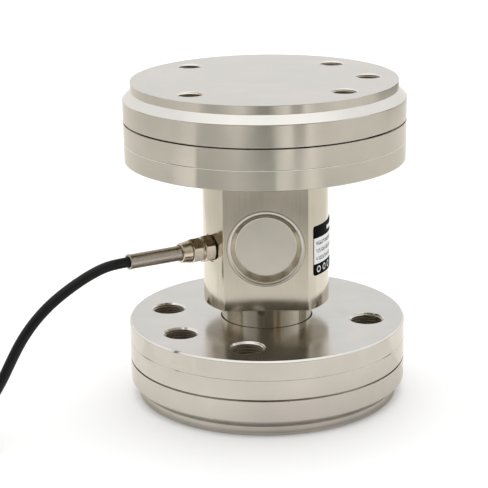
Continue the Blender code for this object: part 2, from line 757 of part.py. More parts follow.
def make_coil():
    """One ring with the outer shape of the wound turns, and the strap round it."""
    corner = COIL_CORNER
    low, high = COIL_BASE, COIL_TOP
    inner, outer = COIL_BUNDLE_INNER, COIL_BUNDLE_OUTER
    outline = (
        (inner, low + corner),
        (inner + corner, low),
        (outer - corner, low),
        (outer, low + corner),
        (outer, high - corner),
        (outer - corner, high),
        (inner + corner, high),
        (inner, high - corner),
    )
    coil = turned("cable_coil", outline, CABLE_JACKET, COIL_FACETS)
    coil.location = coil_centre()
    make_strap()


def rounded_loop(low, high, corner, steps=3):
    """A closed outline between two (x, z) corners, with round corners."""
    turns = (
        ((high[0] - corner, high[1] - corner), 0),
        ((low[0] + corner, high[1] - corner), 90),
        ((low[0] + corner, low[1] + corner), 180),
        ((high[0] - corner, low[1] + corner), 270),
    )
    points = []
    for centre, start in turns:
        points += rounded_corner(centre, corner, start, start + 90, steps)
    return points


def make_strap():
    """A band that closes round the bundle of turns."""
    half = STRAP_WIDTH / 2
    inner_side = math.sqrt(COIL_BUNDLE_INNER**2 - half**2) - PART_GAP
    low = (inner_side, COIL_BASE - PART_GAP)
    high = (COIL_BUNDLE_OUTER + PART_GAP, COIL_CREST + PART_GAP)
    thick = STRAP_THICKNESS
    loops = (
        rounded_loop(low, high, STRAP_CORNER - thick),
        rounded_loop((low[0] - thick, low[1] - thick), (high[0] + thick, high[1] + thick), STRAP_CORNER),
    )
    bm = bmesh.new()
    edges = []
    for loop in loops:
        verts = [bm.verts.new((x, -half, z)) for x, z in loop]
        edges += [bm.edges.new(pair) for pair in zip(verts, verts[1:] + verts[:1])]
    bmesh.ops.bridge_loops(bm, edges=edges)
    grown = bmesh.ops.extrude_face_region(bm, geom=bm.faces[:])
    moved = [item for item in grown["geom"] if isinstance(item, bmesh.types.BMVert)]
    bmesh.ops.translate(bm, vec=(0, STRAP_WIDTH, 0), verts=moved)
    strap = add_object("coil_strap", mesh_from("coil_strap", bm, smooth=False), STRAP_BLACK)
    strap.location = coil_centre()
    strap.rotation_euler.z = math.radians(STRAP_ANGLE)


def make_cable_end():
    """The last stretch of jacket on top of the coil, and the stripped leads that come out of it."""
    centre = coil_centre()
    level = COIL_TOP + PART_GAP + CABLE_DIA / 2
    tail_radius = COIL_OUTER_TURN - CABLE_DIA
    lead_level = COIL_TOP + PART_GAP + LEAD_DIA / 2
    steps = 8
    points = []
    for step in range(steps + 1):
        angle = math.radians(TAIL_START + (TAIL_END - TAIL_START) * step / steps)
        around = Vector((math.cos(angle), math.sin(angle), 0.0))
        points.append(centre + around * tail_radius + Vector((0, 0, level)))
    tube("cable_tail", points, CABLE_DIA, CABLE_JACKET)

    end_angle = math.radians(TAIL_END)
    outward = Vector((math.cos(end_angle), math.sin(end_angle), 0.0))
    onward = Vector((math.sin(end_angle), -math.cos(end_angle), 0.0))
    end = centre + outward * tail_radius + onward * PART_GAP
    for number, (name, colour) in enumerate(LEAD_COLOURS.items()):
        side = number - (len(LEAD_COLOURS) - 1) / 2
        start = end + outward * side * LEAD_PITCH
        fan = math.radians(LEAD_FAN * side)
        across = outward * math.cos(fan) - onward * math.sin(fan)
        along = onward * math.cos(fan) + outward * math.sin(fan)
        inward = -across / (2 * tail_radius)
        lead = []
        for step in range(9):
            travelled = LEAD_LENGTH * step / 8
            sink = min(1.0, travelled / (LEAD_LENGTH * 0.5))
            height = level + (lead_level - level) * sink * sink * (3 - 2 * sink)
            lead.append(start + along * travelled + inward * travelled**2 + Vector((0, 0, height)))
        tube(name, lead, LEAD_DIA, (colour, 0.4, 0.0), 1)


def make_inner_leads():
    """Four leads from the cable to the front board, and two from there to the rear board."""
    direction = gland_direction()
    sideways = Vector((direction.y, -direction.x, 0.0))
    up = Vector((0, 0, 1))
    board_face = WEB_THICKNESS / 2 + PART_GAP + BOARD_THICKNESS + PART_GAP + INNER_LEAD_DIA / 2
    board_level = MID_HEIGHT - BOARD_DROP
    pad = BOARD_WIDTH / 2 - INNER_LEAD_DIA
    beside_board = (POCKET_DIA + BOARD_WIDTH) / 4
    turn_in = direction * beside_board / math.cos(math.radians(GLAND_TURN))
    for number in range(4):
        row, column = divmod(number, 2)
        beside = sideways * (column - 0.5) * INNER_LEAD_PITCH
        lead_level = GLAND_HEIGHT + (0.5 - row) * INNER_LEAD_PITCH
        pad_z = board_level + (1.5 - number) * 1.3 * INNER_LEAD_PITCH
        route = [
            direction * (CABLE_ROUTE[0][0] - PART_GAP) + beside + up * lead_level,
            direction * (SHANK_AT - INNER_LEAD_DIA) + beside + up * lead_level,
            turn_in + beside + up * (lead_level + pad_z) / 2,
            Vector((-pad - 3 * INNER_LEAD_DIA, -board_face - INNER_LEAD_DIA, pad_z)),
            Vector((-pad, -board_face, pad_z)),
        ]
        points = smooth_points(route, INNER_LEAD_SPACING)
        tube(f"inner_lead_{number + 1}", points, INNER_LEAD_DIA, BARE_COPPER, 1)
    for number in range(2):
        shift = (number - 0.5) * INNER_LEAD_PITCH
        pad_z = board_level + 2 * shift
        hole_z = board_level + shift
        half_route = [
            Vector((pad, -board_face, pad_z)),
            Vector((pad + 3 * INNER_LEAD_DIA, -board_face - INNER_LEAD_DIA / 2, pad_z)),
            Vector((LINK_HOLE_X - INNER_LEAD_DIA / 2, -board_face + INNER_LEAD_DIA / 2, (pad_z + hole_z) / 2)),
            Vector((LINK_HOLE_X, -WEB_THICKNESS / 2 + INNER_LEAD_DIA, hole_z)),
        ]
        back = [Vector((point.x, -point.y, point.z)) for point in reversed(half_route)]
        points = smooth_points(half_route + back, INNER_LEAD_SPACING)
        tube(f"link_lead_{number + 1}", points, INNER_LEAD_DIA, BARE_COPPER, 1)


def main():
    clear_scene()
    up = Vector((0, 0, 1))
    middle = Vector((0, 0, MID_HEIGHT))
    front = add_frame("front_frame", middle, Vector((0, -1, 0)))
    rear = add_frame("rear_frame", middle, Vector((0, 1, 0)))
    gland = add_frame("gland_frame", Vector((0, 0, GLAND_HEIGHT)), gland_direction())
    make_end("upper", TOTAL_HEIGHT - LOAD_PLATE_THICKNESS, up, UPPER_END_TURN)
    make_end("lower", LOAD_PLATE_THICKNESS, -up, LOWER_END_TURN)
    make_column(front, rear, gland)
    make_pocket_pieces("front", front)
    make_pocket_pieces("rear", rear)
    make_resistors(front)
    make_gland(gland)
    make_label()
    make_cable()
    make_coil()
    make_cable_end()
    make_inner_leads()


main()
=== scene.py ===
import math

import bmesh
import bpy
from bpy.props import FloatProperty, FloatVectorProperty, IntProperty, PointerProperty
from mathutils import Matrix, Vector


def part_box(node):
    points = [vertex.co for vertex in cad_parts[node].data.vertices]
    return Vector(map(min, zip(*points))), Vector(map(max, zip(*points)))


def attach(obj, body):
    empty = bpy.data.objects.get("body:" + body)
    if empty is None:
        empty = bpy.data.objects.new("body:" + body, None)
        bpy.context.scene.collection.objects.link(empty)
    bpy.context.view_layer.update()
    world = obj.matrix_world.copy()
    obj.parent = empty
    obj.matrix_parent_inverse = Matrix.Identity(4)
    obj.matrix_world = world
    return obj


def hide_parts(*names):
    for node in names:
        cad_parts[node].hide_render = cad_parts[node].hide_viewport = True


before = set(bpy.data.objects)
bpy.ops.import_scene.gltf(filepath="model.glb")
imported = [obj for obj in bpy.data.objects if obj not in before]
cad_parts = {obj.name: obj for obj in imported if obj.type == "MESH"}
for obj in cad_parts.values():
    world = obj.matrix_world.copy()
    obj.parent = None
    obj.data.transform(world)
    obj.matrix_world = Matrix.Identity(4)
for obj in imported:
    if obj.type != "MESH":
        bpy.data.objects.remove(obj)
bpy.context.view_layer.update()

bl_info = {
    "name": "Column load cell",
    "version": (1, 0, 0),
    "blender": (4, 5, 0),
    "location": "3D View > Sidebar > Load Cell",
    "description": "Builds the visible pieces of a column load cell over its packed frame",
    "category": "Object",
}

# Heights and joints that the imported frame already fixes
UPPER_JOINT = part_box("upper_flange")[1].z
LOWER_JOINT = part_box("lower_flange")[0].z
UPPER_PLATE_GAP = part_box("upper_load_plate")[0].z - UPPER_JOINT
PLATE_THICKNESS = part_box("upper_load_plate")[1].z - UPPER_JOINT
FLANGE_THICKNESS = UPPER_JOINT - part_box("upper_flange")[0].z
MID_HEIGHT = (UPPER_JOINT + LOWER_JOINT) / 2
COLUMN_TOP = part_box("column")[1].z
FLAT_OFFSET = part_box("column")[1].y
LABEL_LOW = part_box("label")[0].z
LABEL_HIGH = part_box("label")[1].z

# Points nearer than this are one point, and the same for the turns of a thread
WELD = 0.0000002
THREAD_WELD = 0.000005
# Gap between the gland's pieces
GAP = 0.0003
# How far a cutting tool reaches past the face that it cuts
CUT_PAST = 0.001
# Edges that turn by more than this many degrees are sharp in the shading
SHARP_ANGLE = 35.0
# Facets round one turn of a thread
THREAD_FACETS = 40
# A thread's depth, the end of its root and the start and end of its crest, as shares of its pitch
THREAD_DEPTH = 0.54
ROOT_END = 0.25
CREST_START = 0.56
CREST_END = 0.69
# How steep a disc's ground faces are at least, and the range in which its chamfers are
FLAT_STEEPNESS = 0.95
CHAMFER_STEEPNESS = (0.69, 0.73)
# How far past a hole's mouth its faces are looked for
HOLE_MARGIN = 0.0005
# Where a noise starts and stops to matter, because it seldom leaves this range
NOISE_LOW = 0.3
NOISE_HIGH = 0.7

# Four holes on the bolt circle and a fifth midway between two of them, in degrees
HOLE_ANGLES = (0, 45, 135, 225, 315)

# Print on the label: lengths of the grey rows, and the places of the footer's rings from the label's end
ROW_LENGTHS = (0.021, 0.024, 0.018)
RING_PLACES = (0.0040, 0.0098, 0.0156)

# Colours of the stripped leads at the cable's bare end
LEAD_COLOURS = {
    "lead_red": (0.55, 0.02, 0.015),
    "lead_green": (0.02, 0.25, 0.05),
    "lead_white": (0.80, 0.80, 0.77),
    "lead_black": (0.015, 0.015, 0.015),
}

# The cable's route in the upright plane of the gland's axis: (distance from the column's axis, height)
CABLE_ROUTE = (
    (0.0310, 0.0850),
    (0.0480, 0.0850),
    (0.0660, 0.0850),
    (0.0820, 0.0850),
    (0.0935, 0.0845),
    (0.1020, 0.0823),
    (0.1105, 0.0788),
    (0.1190, 0.0744),
    (0.1265, 0.0697),
    (0.1330, 0.0645),
    (0.1390, 0.0585),
    (0.1445, 0.0515),
    (0.1495, 0.0435),
    (0.1545, 0.0350),
    (0.1605, 0.0265),
    (0.1680, 0.0185),
    (0.1770, 0.0115),
    (0.1870, 0.0066),
    (0.1970, 0.0046),
    (0.2070, 0.00415),
)

# Greys of the table round the object, which the steel mirrors: surroundings and not parts.
# Each ring has the radius where it starts to show, the radius where it is full, and its (heading, grey)
# stops. Heading 0 is toward the camera, and headings grow to the right.
TABLE_RINGS = (
    (0.0, 0.0, (
        (-180, 1.0), (-30, 1.0), (0, 0.80), (120, 0.86), (180, 1.0),
    )),
    (0.125, 0.14, (
        (-180, 0.96), (-90, 0.88), (-10, 0.91), (90, 0.88), (180, 0.96),
    )),
    (0.14, 0.40, (
        (-180, 0.95), (-98, 0.74), (-59, 0.74), (-48, 0.60), (-22, 0.64), (-4, 0.37), (8, 0.34),
        (13, 0.62), (24, 0.80), (51, 0.72), (180, 0.95),
    )),
    (0.49, 0.52, (
        (-180, 0.95), (-98, 0.70), (-76, 0.66), (-70, 0.84), (-54, 1.0), (-52.5, 0.40), (-49, 0.49),
        (-40, 0.46), (-20, 0.60), (7, 0.60), (9, 0.98), (14, 0.92), (24, 0.62), (29, 0.86), (36, 1.0),
        (46, 0.68), (110, 0.76), (180, 0.90),
    )),
    (0.625, 0.655, (
        (-180, 0.95), (-98, 0.74), (-72, 0.78), (-62, 1.0), (-53, 1.0), (-52, 0.50), (-49.5, 0.66),
        (-22, 0.68), (-6, 0.42), (5, 0.34), (10, 0.60), (16, 0.94), (26, 0.81), (30, 1.0), (48, 0.82),
        (110, 0.81), (180, 0.95),
    )),
    (0.70, 0.73, (
        (-180, 0.90), (-98, 0.65), (-53, 0.68), (-49, 0.60), (-33, 0.57), (-20, 0.68), (-3, 0.38),
        (4, 0.36), (9, 0.62), (17, 1.0), (20.5, 0.98), (22, 0.44), (28, 0.34), (34, 0.88), (40, 0.74),
        (110, 0.79), (180, 0.90),
    )),
    (0.82, 0.85, (
        (-180, 0.84), (-98, 0.74), (-56, 0.87), (-46, 0.56), (-41, 0.56), (-18, 1.0), (-5, 0.42),
        (2, 0.34), (11, 0.78), (19, 0.86), (22, 0.50), (30, 0.46), (33, 1.0), (43, 0.68), (62, 0.90),
        (100, 0.76), (112, 0.40), (150, 0.34), (180, 0.84),
    )),
)

# The table's outline: it leaves out the white floor under and behind the object
TABLE_OUTLINE = (
    (-1.8, -1.8),
    (1.8, -1.8),
    (1.8, 1.2),
    (0.24, 1.2),
    (0.24, 0.02),
    (-0.24, 0.02),
    (-0.24, 1.2),
    (-1.8, 1.2),
)

# Parts of a direction between which the room's light changes: from front to back, and toward the top
ROOM_BACKWARD = (-0.9, 0.0)
ROOM_UPWARD = (0.70, 0.97)

# The dim things that stand round the table: (start, end) headings and height of each stretch
ROOM_STRETCHES = (
    (-122, -62, 0.46),
    (-24, 42, 0.70),
    (90, 122, 0.46),
)

# Greys of those stretches, as (heading, grey) stops
ROOM_GREYS = (
    (-180, 0.28), (-104, 0.22), (-96, 0.40), (-60, 0.40), (-22, 0.20), (-15, 0.085), (16, 0.085),
    (18, 0.30), (25, 0.30), (27, 0.12), (33, 0.12), (35, 0.42), (42, 0.40), (78, 0.22), (180, 0.22),
)


def size(name, description, default):
    return FloatProperty(name=name, description=description, default=default, unit="LENGTH", precision=5)


def position(name, description, default):
    return FloatVectorProperty(name=name, description=description, default=default, unit="LENGTH")


def colour(name, description, default):
    return FloatVectorProperty(
        name=name, description=description, default=default, subtype="COLOR", min=0.0
    )


def degrees(name, description, default):
    return FloatProperty(name=name, description=description, default=default)


def tally(name, description, default):
    return IntProperty(name=name, description=description, default=default, min=1)


def amount(name, description, default):
    return FloatProperty(name=name, description=description, default=default, min=0.0)


class LoadCellStage(bpy.types.PropertyGroup):
    floor_colour: colour("Floor", "Colour of the floor", (0.97, 0.97, 0.97))
    floor_radius: size("Floor radius", "How far the floor reaches", 6.0)
    floor_drop: size("Floor drop", "How far the floor lies under the object", 0.0002)
    key_strength: amount("Overhead light", "Brightness of the overhead softbox", 0.64)
    key_width: size("Overhead width", "Width of the overhead softbox", 1.6)
    key_depth: size("Overhead depth", "Depth of the overhead softbox", 1.4)
    key_place: position("Overhead place", "Where the overhead softbox hangs", (0.0, -0.30, 1.10))
    back_strength: amount("Back light", "Brightness of the softbox over the background", 0.68)
    back_width: size("Back width", "Side of the softbox over the background", 2.5)
    back_place: position("Back place", "Where the softbox over the background hangs", (0.0, 1.80, 1.60))
    room_front: colour("Room in front", "Light from behind the camera", (0.40, 0.40, 0.40))
    room_back: colour("Room behind", "Light from the sides and from behind", (1.0, 1.0, 1.0))
    room_above: colour("Room above", "Light from above", (1.22, 1.22, 1.20))
    room_tint: colour("Room tint", "Tint of the dim things round the table", (1.0, 0.87, 0.66))
    room_distance: size("Room distance", "How far off the dim things stand", 1.5)
    room_base: size("Room base", "Height at which the dim things start", 0.2)
    table_near: colour("Table near", "Tint of the table near the object", (1.0, 0.99, 1.0))
    table_far: colour("Table far", "Tint of the table away from the object", (0.91, 0.896, 0.869))
    tint_start: size("Tint start", "Distance at which the table's tint starts to change", 0.14)
    tint_end: size("Tint end", "Distance at which the table's tint has changed", 0.40)
    table_height: size("Table height", "Height of the mirrored table", 0.001)
    card_turn: degrees("Card turn", "Turn of the card before the coil, from -X to the front", 19.45)
    card_distance: size("Card distance", "Distance of that card from the axis", 0.145)
    card_width: size("Card width", "Width of that card", 0.130)
    card_height: size("Card height", "Height of that card", 0.032)
    lens: amount("Lens", "Focal length in mm for a 36 mm sensor", 120.87)
    camera_place: position("Camera", "Where the camera stands", (0.0, -0.85031, 0.33621))
    camera_yaw: degrees("Yaw", "Turn of the view to the left", 0.800)
    camera_pitch: degrees("Pitch", "Tilt of the view downward", 16.660)
    camera_roll: degrees("Roll", "Roll of the camera", 0.859)


class LoadCellEnds(bpy.types.PropertyGroup):
    diameter: size("Diameter", "Outer diameter of flanges and load plates", 0.150)
    raised_face: size("Raised face", "Height of the load plate's raised face", 0.0046)
    chamfer: size("Chamfer", "Width of the load plate's chamfer", 0.0043)
    edge: size("Edge", "How far a rim's edge is rounded", 0.00012)
    face_edge: size("Face edge", "How far the edges of face and chamfer are rounded", 0.00025)
    seat_edge: size("Seat edge", "How far the edge round the neck is rounded", 0.00015)
    upper_inner_edge: size("Upper inner edge", "Chamfer on the upper flange toward the column", 0.0003)
    lower_inner_edge: size("Lower inner edge", "Chamfer on the lower flange toward the column", 0.0010)
    seam: size("Seam", "Height of the fine groove where a load plate meets its flange", 0.0007)
    seam_depth: size("Seam depth", "Depth of that groove", 0.0016)
    upper_line_depth: size("Upper line depth", "Depth of the line on the upper flange's rim", 0.0004)
    lower_line_depth: size("Lower line depth", "Depth of the line on the lower flange's rim", 0.00032)
    line_slope: size("Line slope", "Width of that line's side that faces up", 0.0004)
    line_step: size("Line step", "Width of that line's steep side", 0.00008)
    bolt_inset: size("Bolt inset", "Distance of the holes from the rim", 0.020)
    plate_core: size("Plate hole", "Inner diameter of the load plate's threads", 0.0121)
    plate_pitch: size("Plate pitch", "Pitch of the load plate's threads", 0.00125)
    plate_mouth: size("Plate mouth", "Outer diameter of the load plate's holes", 0.0142)
    flange_core: size("Flange hole", "Inner diameter of the flange's threads", 0.0168)
    flange_pitch: size("Flange pitch", "Pitch of the flange's threads", 0.0015)
    flange_mouth: size("Flange mouth", "Outer diameter of the flange's holes", 0.0190)
    upper_turn: degrees("Upper turn", "Turn of the upper hole pattern", 2.3)
    lower_turn: degrees("Lower turn", "Turn of the lower hole pattern", 214.3)
    segments: tally("Segments", "Facets round a rim", 240)
    hole_segments: tally("Hole segments", "Facets round a hole's mouth", 64)


class LoadCellColumn(bpy.types.PropertyGroup):
    body_diameter: size("Body", "Diameter of the column's body", 0.068)
    body_height: size("Body height", "Height of the column's body", 0.0687)
    neck_diameter: size("Neck", "Diameter of the column's necks", 0.049)
    neck_seat: size("Neck seat", "Depth to which a neck enters its flange", 0.006)
    neck_clearance: size("Neck clearance", "Gap round a neck in its flange", 0.0005)
    end_diameter: size("End", "Diameter of the column's ends", 0.040)
    end_clearance: size("End clearance", "Gap round one of these ends", 0.0003)
    web: size("Web", "Thickness of the web between the pockets", 0.008)
    edge: size("Edge", "How far the body's edges are rounded", 0.00025)
    neck_edge: size("Neck edge", "How far the neck's edge is rounded", 0.0002)
    end_edge: size("End edge", "How far the edge of such an end is rounded", 0.0008)
    pocket_edge: size("Pocket edge", "Chamfer round a pocket", 0.00015)
    spot_depth: size("Spot face", "Depth of the spot face under the gland", 0.0008)
    segments: tally("Segments", "Facets round the body", 160)


class LoadCellCover(bpy.types.PropertyGroup):
    opening: size("Opening", "Diameter of the recess at the lip", 0.0378)
    proud: size("Proud", "How far the lip stands out of the flat", 0.00015)
    taper: size("Taper", "How far the recess narrows to its floor", 0.0027)
    recess: size("Recess", "Depth of the recess", 0.0043)
    sheet: size("Sheet", "Thickness of the pressed sheet", 0.0009)
    ledge: size("Ledge", "Width of the ledge that the lip lies on", 0.0005)
    seat_depth: size("Seat depth", "Depth of the seat in the column", 0.0015)
    clearance: size("Clearance", "Gap round the cover", 0.0003)
    lip_gap: size("Lip gap", "Gap round the cover's lip", 0.00006)
    floor_edge: size("Floor edge", "Rounding between the recess's floor and wall", 0.0004)
    shoulder: size("Shoulder", "Rounding between the recess's wall and the lip", 0.0013)
    lip_edge: size("Lip edge", "Rounding of the lip's edge", 0.0002)
    # The darker steel high on a cover's wall is painted shade: this tilt says where it starts.
    wall_shade_tilt: amount("Smear tilt", "How steeply the wall faces down where the smear starts", 0.42)
    segments: tally("Segments", "Facets round a cover", 128)


class LoadCellGland(bpy.types.PropertyGroup):
    height: size("Height", "Height of the gland's axis", 0.085)
    turn: degrees("Turn", "Turn of the gland from -X to the front", 30.0)
    washer: size("Washer", "Diameter of the washer", 0.0136)
    spot: size("Spot face", "Diameter of the spot face in the column", 0.0153)
    washer_thickness: size("Washer thickness", "Thickness of the washer", 0.0004)
    shank: size("Shank", "Diameter of the shank", 0.0094)
    shank_length: size("Shank length", "Length of the shank under the spot face", 0.0087)
    body_hexagon: size("Body hexagon", "Width across the body's flats", 0.0132)
    body_length: size("Body length", "Length of the body's hexagon", 0.0056)
    collar: size("Collar", "Diameter of the collar", 0.0114)
    collar_length: size("Collar length", "Length of the collar", 0.0010)
    tube: size("Tube", "Diameter of the tube that the nut runs on", 0.0080)
    tube_length: size("Tube length", "Length of that tube", 0.0032)
    nut_hexagon: size("Nut hexagon", "Width across the nut's flats", 0.0121)
    hexagon_turn: degrees("Hexagon turn", "Turn of both hexagons", -7.0)
    hexagon_corner: size("Hexagon corner", "Rounding of the hexagons' long edges", 0.00025)
    hexagon_slope: amount("Hexagon slope", "Slope of the hexagons' turned-down corners", 0.55)
    nut_length: size("Nut length", "Length of the nut", 0.0057)
    nut_wall: size("Nut wall", "Wall at the nut's outer end", 0.0008)
    ferrule_root: size("Ferrule root", "Ferrule's diameter at the nut", 0.0118)
    ferrule_tip: size("Ferrule tip", "Ferrule's diameter at the sleeve", 0.0104)
    ferrule_length: size("Ferrule length", "Length of the ferrule", 0.0054)
    sleeve_wall: size("Sleeve wall", "Wall of the sleeve at the ferrule", 0.0009)
    sleeve_tip_wall: size("Sleeve tip wall", "Wall of the sleeve at its tip", 0.0008)
    sleeve_hold: size("Sleeve hold", "Length of the sleeve inside the ferrule", 0.0035)
    sleeve_length: size("Sleeve length", "Free length of the sleeve", 0.0300)
    bead: size("Bead", "How far the sleeve's end bead stands out", 0.0002)
    bead_width: size("Bead width", "Width of that bead", 0.0009)
    passage: size("Passage", "Diameter of the way for the cable", 0.0062)
    edge: size("Edge", "Rounding of the washer, the tube and the sleeve's tip", 0.0003)
    collar_edge: size("Collar edge", "Rounding of the collar", 0.00025)
    end_edge: size("End edge", "Rounding of the shank's end and of the ferrule", 0.0004)
    bore_edge: size("Bore edge", "Rounding of the sleeve's bore and of the hexagons' faces", 0.0001)
    # The darker plating on the upper facets is painted shade: this tilt says which facets take it.
    facet_shade_tilt: amount("Tarnish tilt", "How steeply the facets face up that are dull", 0.5)
    segments: tally("Segments", "Facets round the gland", 96)


class LoadCellLabel(bpy.types.PropertyGroup):
    margin: size("Margin", "Distance from the label's ends to the flats", 0.0038)
    corner: size("Corner", "Radius of the label's corners", 0.0020)
    thickness: size("Thickness", "Thickness of the label", 0.0002)
    lift: size("Lift", "Layer of glue under the label", 0.0002)
    header: size("Header", "Height of the dark field at the top", 0.00645)
    footer: size("Footer", "Height of the dark field at the bottom", 0.00635)
    row_start: size("Row start", "Distance of the grey rows from the label's end", 0.0018)
    row_height: size("Row height", "Height of a grey row", 0.0021)
    first_row: amount("First row", "Height of the first row in the white field, as a share", 0.79)
    row_step: amount("Row step", "Step from row to row, as a share of the white field", 0.30)
    row_ink: amount("Row ink", "How dark the grey rows are", 0.8)
    ring_radius: size("Ring radius", "Radius of the footer's rings", 0.0015)
    ring_width: size("Ring width", "Width of the footer's rings", 0.0006)
    bar_start: size("Bar start", "Distance of the header's bar from the label's end", 0.0135)
    bar_length: size("Bar length", "Length of the header's bar", 0.020)
    bar_height: size("Bar height", "Height of the header's bar", 0.0022)
    strips: tally("Strips", "Strips that let the sheet bend", 48)


class LoadCellCable(bpy.types.PropertyGroup):
    diameter: size("Diameter", "Diameter of the cable", 0.0055)
    length: size("Length", "Length of the cable", 3.0)
    coil_mean: size("Coil", "Mean diameter of the coil", 0.062)
    turns_across: tally("Turns across", "Turns beside each other", 4)
    layers: tally("Layers", "Layers of turns", 4)
    turn_points: tally("Turn points", "Points in one turn", 60)
    shift_points: tally("Shift points", "Points in which the cable moves over to the next turn", 8)
    last_points: tally("Last points", "Points of the last stretch on top of the coil", 17)
    coil_base: size("Coil base", "Room under the coil for the strap", 0.0014)
    jacket: colour("Jacket", "Colour of the cable's jacket", (0.007, 0.007, 0.007))


class LoadCellSteel(bpy.types.PropertyGroup):
    face: colour("Ground face", "Colour of the ground faces", (0.625, 0.618, 0.600))
    # Lighter than the other steel: the chamfers are freshly cut, and the extra lightness is also a painted
    # highlight on all 45-degree faces.
    chamfer: colour("Chamfer", "Colour of the freshly cut chamfers", (0.740, 0.725, 0.690))
    rim: colour("Turned rim", "Colour of the turned rims", (0.600, 0.565, 0.495))
    column: colour("Column", "Colour of the column", (0.620, 0.570, 0.475))
    cover: colour("Cover", "Colour of the covers", (0.670, 0.632, 0.550))
    gland: colour("Gland plating", "Colour of the gland's plating", (0.660, 0.605, 0.510))
    # Darker steel for the upper part of a cover's wall, where it faces down: painted shade.
    painted_wall_shade: colour("Smear", "Colour of the dull smear on a cover's wall", (0.320, 0.285, 0.225))
    # Darker plating for the gland's upper facets: painted shade.
    painted_facet_shade: colour("Tarnish", "Colour of the gland's upper facets", (0.330, 0.265, 0.185))
    sleeve: colour("Sleeve", "Colour of the cable's sleeve", (0.450, 0.405, 0.350))
    thread: colour("Thread", "Colour of the cut threads", (0.640, 0.580, 0.490))
    face_roughness: amount("Face roughness", "Roughness of the ground faces", 0.20)
    rim_roughness: amount("Rim roughness", "Roughness of the turned rims", 0.12)
    column_roughness: amount("Column roughness", "Roughness of the column", 0.13)
    thread_roughness: amount("Thread roughness", "Roughness of the cut threads", 0.36)
    chamfer_roughness: amount("Chamfer roughness", "Roughness of the cut chamfers", 0.14)
    cover_roughness: amount("Cover roughness", "Roughness of the covers", 0.24)
    gland_roughness: amount("Gland roughness", "Roughness of the gland's plating", 0.16)
    # Roughness of the upper facets that carry the painted shade.
    facet_shade_roughness: amount("Tarnish roughness", "Roughness of its dull facets", 0.22)
    sleeve_roughness: amount("Sleeve roughness", "Roughness of the cable's sleeve", 0.26)
    rim_stretch: amount("Rim stretch", "How far reflections on the rims are drawn out", 0.6)


SETTINGS = {
    "load_cell_stage": LoadCellStage,
    "load_cell_ends": LoadCellEnds,
    "load_cell_column": LoadCellColumn,
    "load_cell_cover": LoadCellCover,
    "load_cell_gland": LoadCellGland,
    "load_cell_label": LoadCellLabel,
    "load_cell_cable": LoadCellCable,
    "load_cell_steel": LoadCellSteel,
}


# Meshes


def eased(corners, steps=3):
    """Points of an outline from (radius, height, easing) corners, each rounded by its easing."""
    places = [Vector(corner[:2]) for corner in corners]
    points = []
    for number, (here, (_, _, ease)) in enumerate(zip(places, corners)):
        if ease == 0.0:
            points.append(here)
            continue
        back = (places[number - 1] - here).normalized() * ease
        onward = (places[(number + 1) % len(places)] - here).normalized() * ease
        if (places[number - 1] - here).length > 4 * ease:
            points.append(here + 2 * back)
        for step in range(steps + 1):
            t = step / steps
            points.append(here + back * (1 - t) ** 2 + onward * t**2)
        if (places[(number + 1) % len(places)] - here).length > 4 * ease:
            points.append(here + 2 * onward)
    return points


def spun(corners, segments, steps=3, move=Matrix()):
    """A solid turned round Z. An outline that is clear of the axis closes on itself."""
    outline = eased(corners, steps)
    bm = bmesh.new()
    verts = [bm.verts.new((point.x, 0.0, point.y)) for point in outline]
    edges = [bm.edges.new(pair) for pair in zip(verts, verts[1:])]
    if outline[0].x > 0.0:
        edges.append(bm.edges.new((verts[-1], verts[0])))
    bmesh.ops.spin(
        bm,
        geom=verts + edges,
        cent=(0, 0, 0),
        axis=(0, 0, 1),
        angle=math.tau,
        steps=segments,
        use_merge=True,
    )
    bmesh.ops.remove_doubles(bm, verts=bm.verts, dist=WELD)
    bmesh.ops.recalc_face_normals(bm, faces=bm.faces)
    bmesh.ops.transform(bm, matrix=move, verts=bm.verts)
    return bm


def plug(radius, low, high, segments):
    """A plain round bar along Z."""
    outline = ((0.0, high, 0.0), (radius, high, 0.0), (radius, low, 0.0), (0.0, low, 0.0))
    return spun(outline, segments)


def moved_verts(result):
    """The new vertices in an extrusion's result."""
    return [item for item in result["geom"] if isinstance(item, bmesh.types.BMVert)]


def joined(parts):
    """One bmesh from several, which are used up."""
    whole = bmesh.new()
    for part in parts:
        mesh = bpy.data.meshes.new("part")
        part.to_mesh(mesh)
        part.free()
        whole.from_mesh(mesh)
        bpy.data.meshes.remove(mesh)
    return whole


def helix_cutter(core, pitch, low, high):
    """A threaded rod: a zigzag outline that climbs one pitch in a full turn meets itself."""
    root = core / 2
    crest = root + pitch * THREAD_DEPTH
    bm = bmesh.new()
    verts = []
    height = low - 2 * pitch
    while height < high + 2 * pitch:
        for across, share in ((root, 0.0), (root, ROOT_END), (crest, CREST_START), (crest, CREST_END)):
            verts.append(bm.verts.new((across, 0.0, height + pitch * share)))
        height += pitch
    edges = [bm.edges.new(pair) for pair in zip(verts, verts[1:])]
    bmesh.ops.spin(
        bm,
        geom=verts + edges,
        cent=(0, 0, 0),
        axis=(0, 0, 1),
        dvec=(0, 0, pitch / THREAD_FACETS),
        angle=math.tau,
        steps=THREAD_FACETS,
        use_merge=False,
    )
    bmesh.ops.remove_doubles(bm, verts=bm.verts, dist=THREAD_WELD)
    rim = [edge for edge in bm.edges if edge.is_boundary]
    bmesh.ops.holes_fill(bm, edges=rim, sides=0)
    bmesh.ops.triangulate(bm, faces=[face for face in bm.faces if len(face.verts) > 4])
    bmesh.ops.recalc_face_normals(bm, faces=bm.faces)
    return bm


